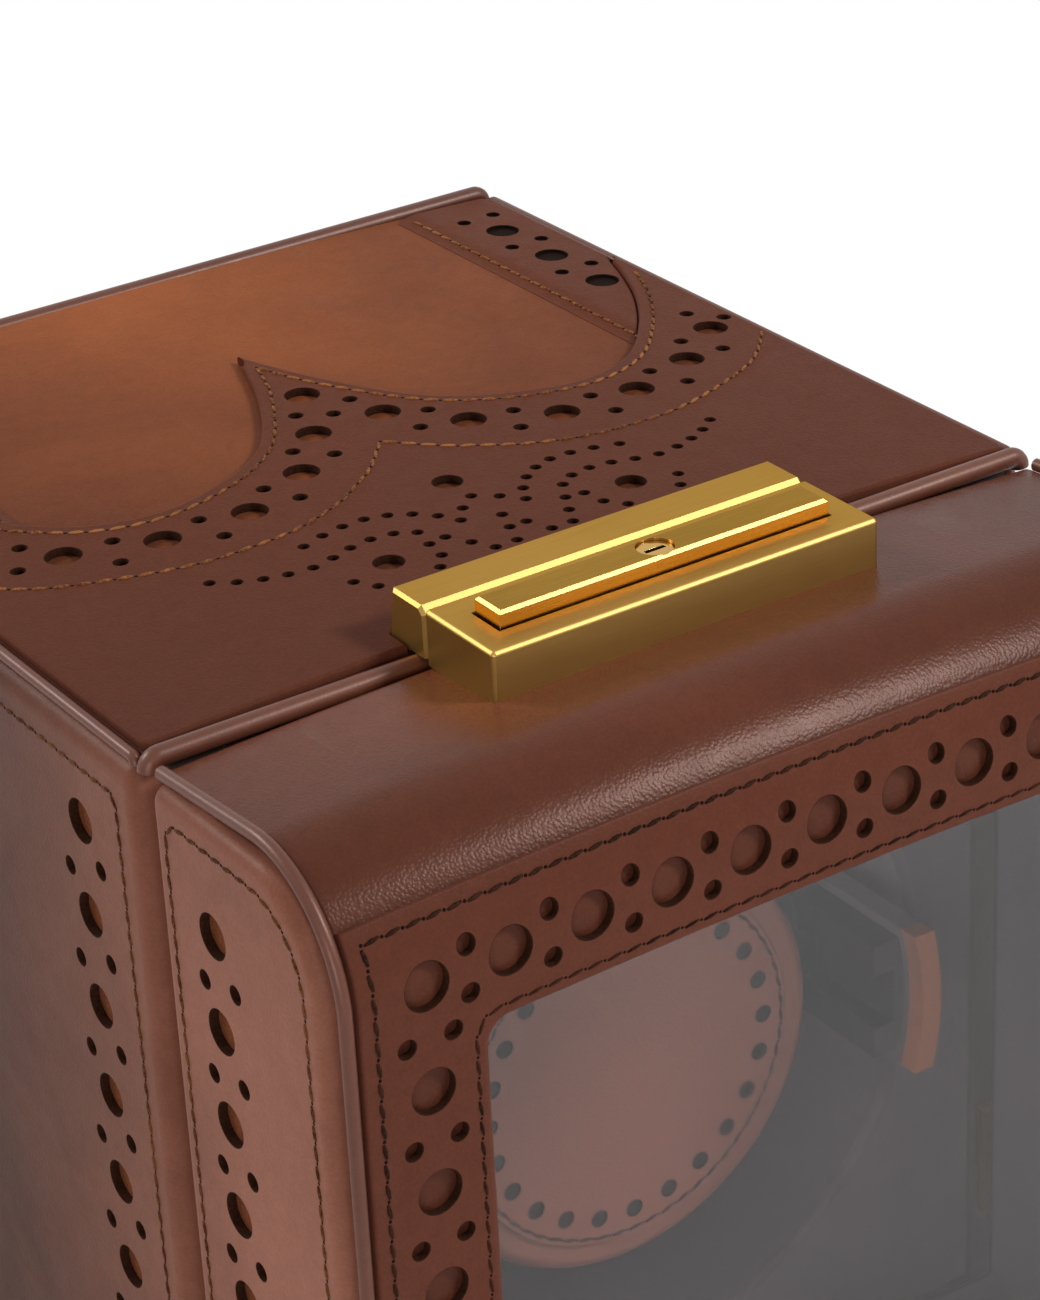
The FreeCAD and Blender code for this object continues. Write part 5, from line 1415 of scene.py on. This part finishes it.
@dataclass
class SidePanels:
    """Padded side panels of the case and of the cover."""

    blind: float = 1.3 * MM
    stitch_inset: float = 3.6 * MM
    profile_inset: float = 2.0 * MM
    corner: float = 2.6 * MM
    case_corner: float = 3.4 * MM
    case_round: float = 3.0 * MM
    cover_round: float = 2.3 * MM
    case_row: PanelRow = PanelRow(16.3 * MM, 16.3 * MM, 17 * MM, 0.0, 4.2 * MM, 1.5 * MM)
    cover_row: PanelRow = PanelRow(-15.7 * MM, 17.2 * MM, 18 * MM, -0.7 * MM, 3.6 * MM, 0.7 * MM)
    seam_front: float = 6.0 * MM
    seam_drop: float = 8.3 * MM
    seam_foot: float = 5.0 * MM
    seam_back: float = 6.0 * MM

    def panel(self, side: str, node: str, outline: list[Point], soft: float, row: PanelRow,
              body: str, seam_name: str, seam: Seam) -> None:
        """One padded panel with its blind holes and its stitches.

        Args:
            side: "left" or "right".
            node: CAD node that the panel replaces.
            outline: its edge, as places along Y and up.
            soft: rounding of the edge.
            row: its column of holes.
            body: CAD body that it moves with.
            seam_name: name of the piece that holds the stitches.
            seam: the stitches.
        """
        lowest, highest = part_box(node)
        surface = FlatSide(HALF_WIDTH if side == "right" else -HALF_WIDTH)
        loops = [Loop(outline, hole=False, raw=False, round=soft, depth=highest.x - lowest.x,
                      steps=7)]
        for spots, radius, sides in ((row.big(), BIG_HOLE, 28), (row.small(), SMALL_HOLE, 16)):
            loops += [punched(spot, radius, sides, depth=self.blind, blind=True) for spot in spots]
        # Hole walls are near black, painted shade; the blind floors keep the backing's tone.
        keep("padded_" + node, Layer(loops).build(surface.place), body,
             [Finish.SIDE, Finish.SHADED_WALL, Finish.BACKING], [node])
        sewn(seam_name, [seam], surface.place, body, Finish.BROWN_THREAD)

    def build_case(self) -> None:
        """The case's two side panels, sewn down the front and along the top."""
        for side in ("left", "right"):
            node = "side_panel_" + side
            lowest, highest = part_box(node)
            outline = rounded_box(lowest.y, highest.y, lowest.z, highest.z, self.case_corner, 8)
            front, top = SEAM + self.seam_front, CREST - self.seam_drop
            line = [(front, lowest.z + self.seam_foot), (front, top),
                    (highest.y - self.seam_back, top)]
            self.panel(side, node, outline, self.case_round, self.case_row, "case",
                       "side_stitches_" + side, Seam(line))

    def build_cover(self) -> None:
        """The cover's two side panels, sewn all round."""
        profile = CoverProfile()
        for side in ("left", "right"):
            node = "cover_panel_" + side
            back = high(node).y
            seam = Seam(self.shield(profile, back, self.stitch_inset), closed=True)
            self.panel(side, node, self.shield(profile, back, 0.0), self.cover_round,
                       self.cover_row, "cover", "panel_stitches_" + side, seam)

    def shield(self, profile: CoverProfile, back: float, inset: float) -> list[Point]:
        """Side view of the cover, drawn in from its profile and from its back."""
        reach = self.profile_inset + inset
        rows = [profile.at_flat] + profile.steps()[4:] + [profile.length]
        outline = []
        for along in rows:
            spot, normal, _ = profile.point(along)
            across, up = spot.x - normal.x * reach, spot.y - normal.y * reach
            if across < back - inset - self.corner:
                outline.append((across, up))
        limit = back - inset
        top, floor = outline[0][1], outline[-1][1]
        for centre_up, start in ((floor + self.corner, -90), (top - self.corner - 0.1 * MM, 0)):
            for step in range(7):
                angle = math.radians(start + 15 * step)
                outline.append((limit - self.corner + self.corner * math.cos(angle),
                                centre_up + self.corner * math.sin(angle)))
        return outline

    def build(self) -> None:
        """Builds the four panels."""
        self.build_case()
        self.build_cover()


@dataclass
class Latch:
    """Brass latch: block, push bar and lock on the cover, keeper and tongue on the case."""

    soften: float = 0.28 * MM

    def build(self) -> None:
        """Rounds the edges of every brass piece a little."""
        for node, body, finish, soften in (
            ("latch_block", "cover", Finish.BRASS, self.soften),
            ("push_bar", "push_bar", Finish.BAR_BRASS, self.soften),
            ("keeper", "case", Finish.BRASS, self.soften),
            ("keeper_tongue", "case", Finish.BRIGHT_BRASS, self.soften / 10),
            ("lock_cylinder", "lock", Finish.BRIGHT_BRASS, self.soften / 10),
        ):
            refined("brass_" + node, node, body, finish, soften, 4)


@dataclass
class Cuff:
    """Padded cuff that a watch is strapped round."""

    disc_dots: int = 24
    dot_inset: float = 4.0 * MM
    dot_radius: float = 1.3 * MM
    dot_depth: float = 0.5 * MM
    stitch_inset: float = 0.95 * MM
    disc_round: float = 0.25 * MM
    rim_round: float = 2.2 * MM
    clearance: float = 0.99
    squareness: float = 2.6
    fold_depth: float = 0.012
    folds: int = 18

    def build_disc(self) -> None:
        """Round leather face with its ring of dots, and the padded rim under it."""
        lowest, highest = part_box("cuff_disc")
        radius = highest.x
        front = lowest.y

        def place(across: float, up: float, lift: float) -> Vector:
            return Vector((across, front - lift, AXIS + up))

        loops = [Loop(circle((0, 0), radius, 96), hole=False, raw=False, round=self.disc_round,
                      depth=highest.y - lowest.y)]
        ring = circle((0, 0), radius - self.dot_inset, self.disc_dots)
        loops += [punched(spot, self.dot_radius, 18, depth=self.dot_depth, blind=True,
                          round=0.06 * MM) for spot in ring]
        # The dots' walls and floors are near black: painted shade.
        keep("cuff_badge", Layer(loops).build(place), "cuff",
             [Finish.CUFF, Finish.SHADED_PIT, Finish.SHADED_PIT], ["cuff_disc"])
        sewn("cuff_stitches", [Seam(circle((0, 0), radius - self.stitch_inset, 90), closed=True)],
             place, "cuff", Finish.DARK_THREAD)
        lowest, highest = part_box("cuff_face")

        def rim(across: float, up: float, lift: float) -> Vector:
            return Vector((across, lowest.y - lift, AXIS + up))

        outline = Loop(circle((0, 0), highest.x, 120), hole=False, raw=False, round=self.rim_round,
                       depth=highest.y - lowest.y, steps=8)
        keep("cuff_rim", Layer([outline]).build(rim), "cuff",
             [Finish.CUFF, Finish.CUFF], ["cuff_face"])

    def build_pillow(self) -> None:
        """Stuffed roll, fullest at its middle and gathered in at both ends."""
        lowest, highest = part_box("cuff_pillow")
        half = (highest - lowest) / 2
        middle = (highest + lowest) / 2
        shape = bmesh.new()
        bmesh.ops.create_uvsphere(shape, u_segments=72, v_segments=48, radius=1,
                                  matrix=Matrix.Rotation(math.pi / 2, 4, "Y"))
        for vert in shape.verts:
            along = vert.co.x
            ring = math.hypot(vert.co.y, vert.co.z)
            end = max(-1.0, min(1.0, along * 1.35))
            swell = (1 - 0.13 * end * end) * min(1.0, ring * 2.4) ** 0.6
            angle = math.atan2(vert.co.z, vert.co.y)
            power = self.squareness
            full = (abs(math.cos(angle)) ** power + abs(math.sin(angle)) ** power) ** (-1 / power)
            pucker = 1 - self.fold_depth * (1 + math.cos(angle * self.folds)) * end ** 4
            vert.co = Vector((
                middle.x + half.x * self.clearance * end,
                middle.y + half.y * self.clearance * swell * pucker * full * math.cos(angle),
                middle.z + half.z * self.clearance * swell * pucker * full * math.sin(angle)))
        bmesh.ops.recalc_face_normals(shape, faces=shape.faces)
        piece = keep("cuff_cushion", shape, "cuff", [Finish.CUFF], ["cuff_pillow"],
                     NO_CREASE)

    def build(self) -> None:
        """Builds the cuff."""
        self.build_disc()
        self.build_pillow()


def dress_frame_nodes() -> None:
    """Gives every CAD node the finish of its slot."""
    for row in frame["record"]["subparts"]:
        node = frame["nodes"][row["node"]]
        node.data.materials.clear()
        finish = HIDDEN_EDGES.get(row["node"], SLOT_FINISH[row["material_slot"]])
        node.data.materials.append(dressed(finish))


# ---------------------------------------------------------------- studio


@dataclass
class Studio:
    """Pale floor, soft lights and the camera."""

    eye: Vector = Vector((-0.23899, -0.39343, 0.35531))
    turn: float = -32.782
    rise: float = 27.43
    roll: float = -2.906
    lens: float = 104.68
    sensor: float = 36.0
    near: float = 0.01
    floor_half: float = 3.0
    floor_fade: Point = (0.12, 0.34)
    surround: float = 0.22

    def build_camera(self) -> None:
        """Camera at the photograph's place."""
        camera = bpy.data.objects.new("camera", bpy.data.cameras.new("camera"))
        bpy.context.scene.collection.objects.link(camera)
        turn, rise, roll = (math.radians(angle) for angle in (self.turn, self.rise, self.roll))
        back = Vector((math.sin(turn) * math.cos(rise), -math.cos(turn) * math.cos(rise),
                       math.sin(rise)))
        right = (-back).cross(Vector((0, 0, 1))).normalized()
        up = right.cross(-back)
        leaning = right * math.cos(roll) + up * math.sin(roll)
        upright = up * math.cos(roll) - right * math.sin(roll)
        camera.matrix_world = Matrix((leaning, upright, back)).transposed().to_4x4()
        camera.location = self.eye
        camera.data.lens = self.lens
        camera.data.sensor_width = self.sensor
        camera.data.clip_start = self.near
        bpy.context.scene.camera = camera

    def build_floor(self) -> None:
        """Plain pale floor that the camera sees turn white away from the object."""
        shape = bmesh.new()
        bmesh.ops.create_grid(shape, x_segments=2, y_segments=2, size=self.floor_half)
        mesh = bpy.data.meshes.new("floor")
        shape.to_mesh(mesh)
        shape.free()
        nodes = Nodes("floor_paper")
        nodes.wear(colour=nodes.ramp(nodes.noise(3, 2), ((0.3, (0.94, 0.94, 0.94)),
                                                         (0.7, (0.97, 0.97, 0.97)))), rough=0.8)
        white = nodes.add("ShaderNodeEmission")
        white.inputs["Strength"].default_value = 1.0
        far = nodes.scaled(nodes.distance(Vector((0, 0, 0)), (1, 1, 1)), self.floor_fade,
                           (0.0, 1.0), True)
        seen = nodes.add("ShaderNodeLightPath").outputs["Is Camera Ray"]
        nodes.swap(nodes.maths("MULTIPLY", far, seen), white.outputs["Emission"])
        mesh.materials.append(nodes.material)
        floor = bpy.data.objects.new("floor", mesh)
        bpy.context.scene.collection.objects.link(floor)

    @staticmethod
    def lamp(name: str, place: Sequence[float], aim: Vector, size: Point, watts: float,
             colour: Colour) -> None:
        """Large soft lamp that faces a place."""
        light = bpy.data.lights.new(name, "AREA")
        light.shape = "RECTANGLE"
        light.size, light.size_y = size
        light.energy = watts
        light.color = colour
        holder = bpy.data.objects.new(name, light)
        bpy.context.scene.collection.objects.link(holder)
        holder.location = place
        holder.rotation_euler = (aim - Vector(place)).to_track_quat("-Z", "Y").to_euler()

    def build_lights(self) -> None:
        """Soft lamps and a white surround."""
        aim = Vector((0, SEAM, 0.1))
        self.lamp("right_front", (0.63, -0.72, 0.92), aim, (0.22, 0.32), 10.0, (1.0, 0.98, 0.97))
        self.lamp("left_back", (-0.62, 0.74, 0.79), aim, (0.35, 0.35), 6.5, (1.0, 0.97, 0.95))
        self.lamp("left_front", (-0.85, -0.95, 0.3), aim, (0.5, 0.5), 4.5, (1.0, 0.97, 0.95))
        world = bpy.data.worlds.new("surround")
        bpy.context.scene.world = world
        world.use_nodes = True
        tree = world.node_tree
        tree.nodes.clear()
        output = tree.nodes.new("ShaderNodeOutputWorld")
        white = tree.nodes.new("ShaderNodeBackground")
        soft = tree.nodes.new("ShaderNodeBackground")
        white.inputs["Strength"].default_value = 1.0
        white.inputs["Color"].default_value = (1, 1, 1, 1)
        soft.inputs["Strength"].default_value = self.surround
        soft.inputs["Color"].default_value = (1, 0.99, 0.98, 1)
        rays = tree.nodes.new("ShaderNodeLightPath")
        seen = rays.outputs["Is Camera Ray"]
        for name in ("Is Glossy Ray", "Is Transmission Ray"):
            either = tree.nodes.new("ShaderNodeMath")
            either.operation = "MAXIMUM"
            tree.links.new(seen, either.inputs[0])
            tree.links.new(rays.outputs[name], either.inputs[1])
            seen = either.outputs["Value"]
        blend = tree.nodes.new("ShaderNodeMixShader")
        tree.links.new(seen, blend.inputs["Fac"])
        tree.links.new(soft.outputs["Background"], blend.inputs[1])
        tree.links.new(white.outputs["Background"], blend.inputs[2])
        tree.links.new(blend.outputs["Shader"], output.inputs["Surface"])

    def build(self) -> None:
        """Builds the studio."""
        self.build_camera()
        self.build_floor()
        self.build_lights()
        bpy.context.scene.view_settings.view_transform = "Standard"


def main() -> None:
    """Builds every sub-assembly in order, then the studio."""
    logging.basicConfig(level=logging.INFO, format="%(relativeCreated)d %(message)s")
    dress_frame_nodes()
    for part in (TopLeather(), Piping(), CoverLeather(), SidePanels(), Latch(), Cuff(), Studio()):
        part.build()
        LOG.info("built %s", type(part).__name__)


if __name__ == "__main__":
    main()
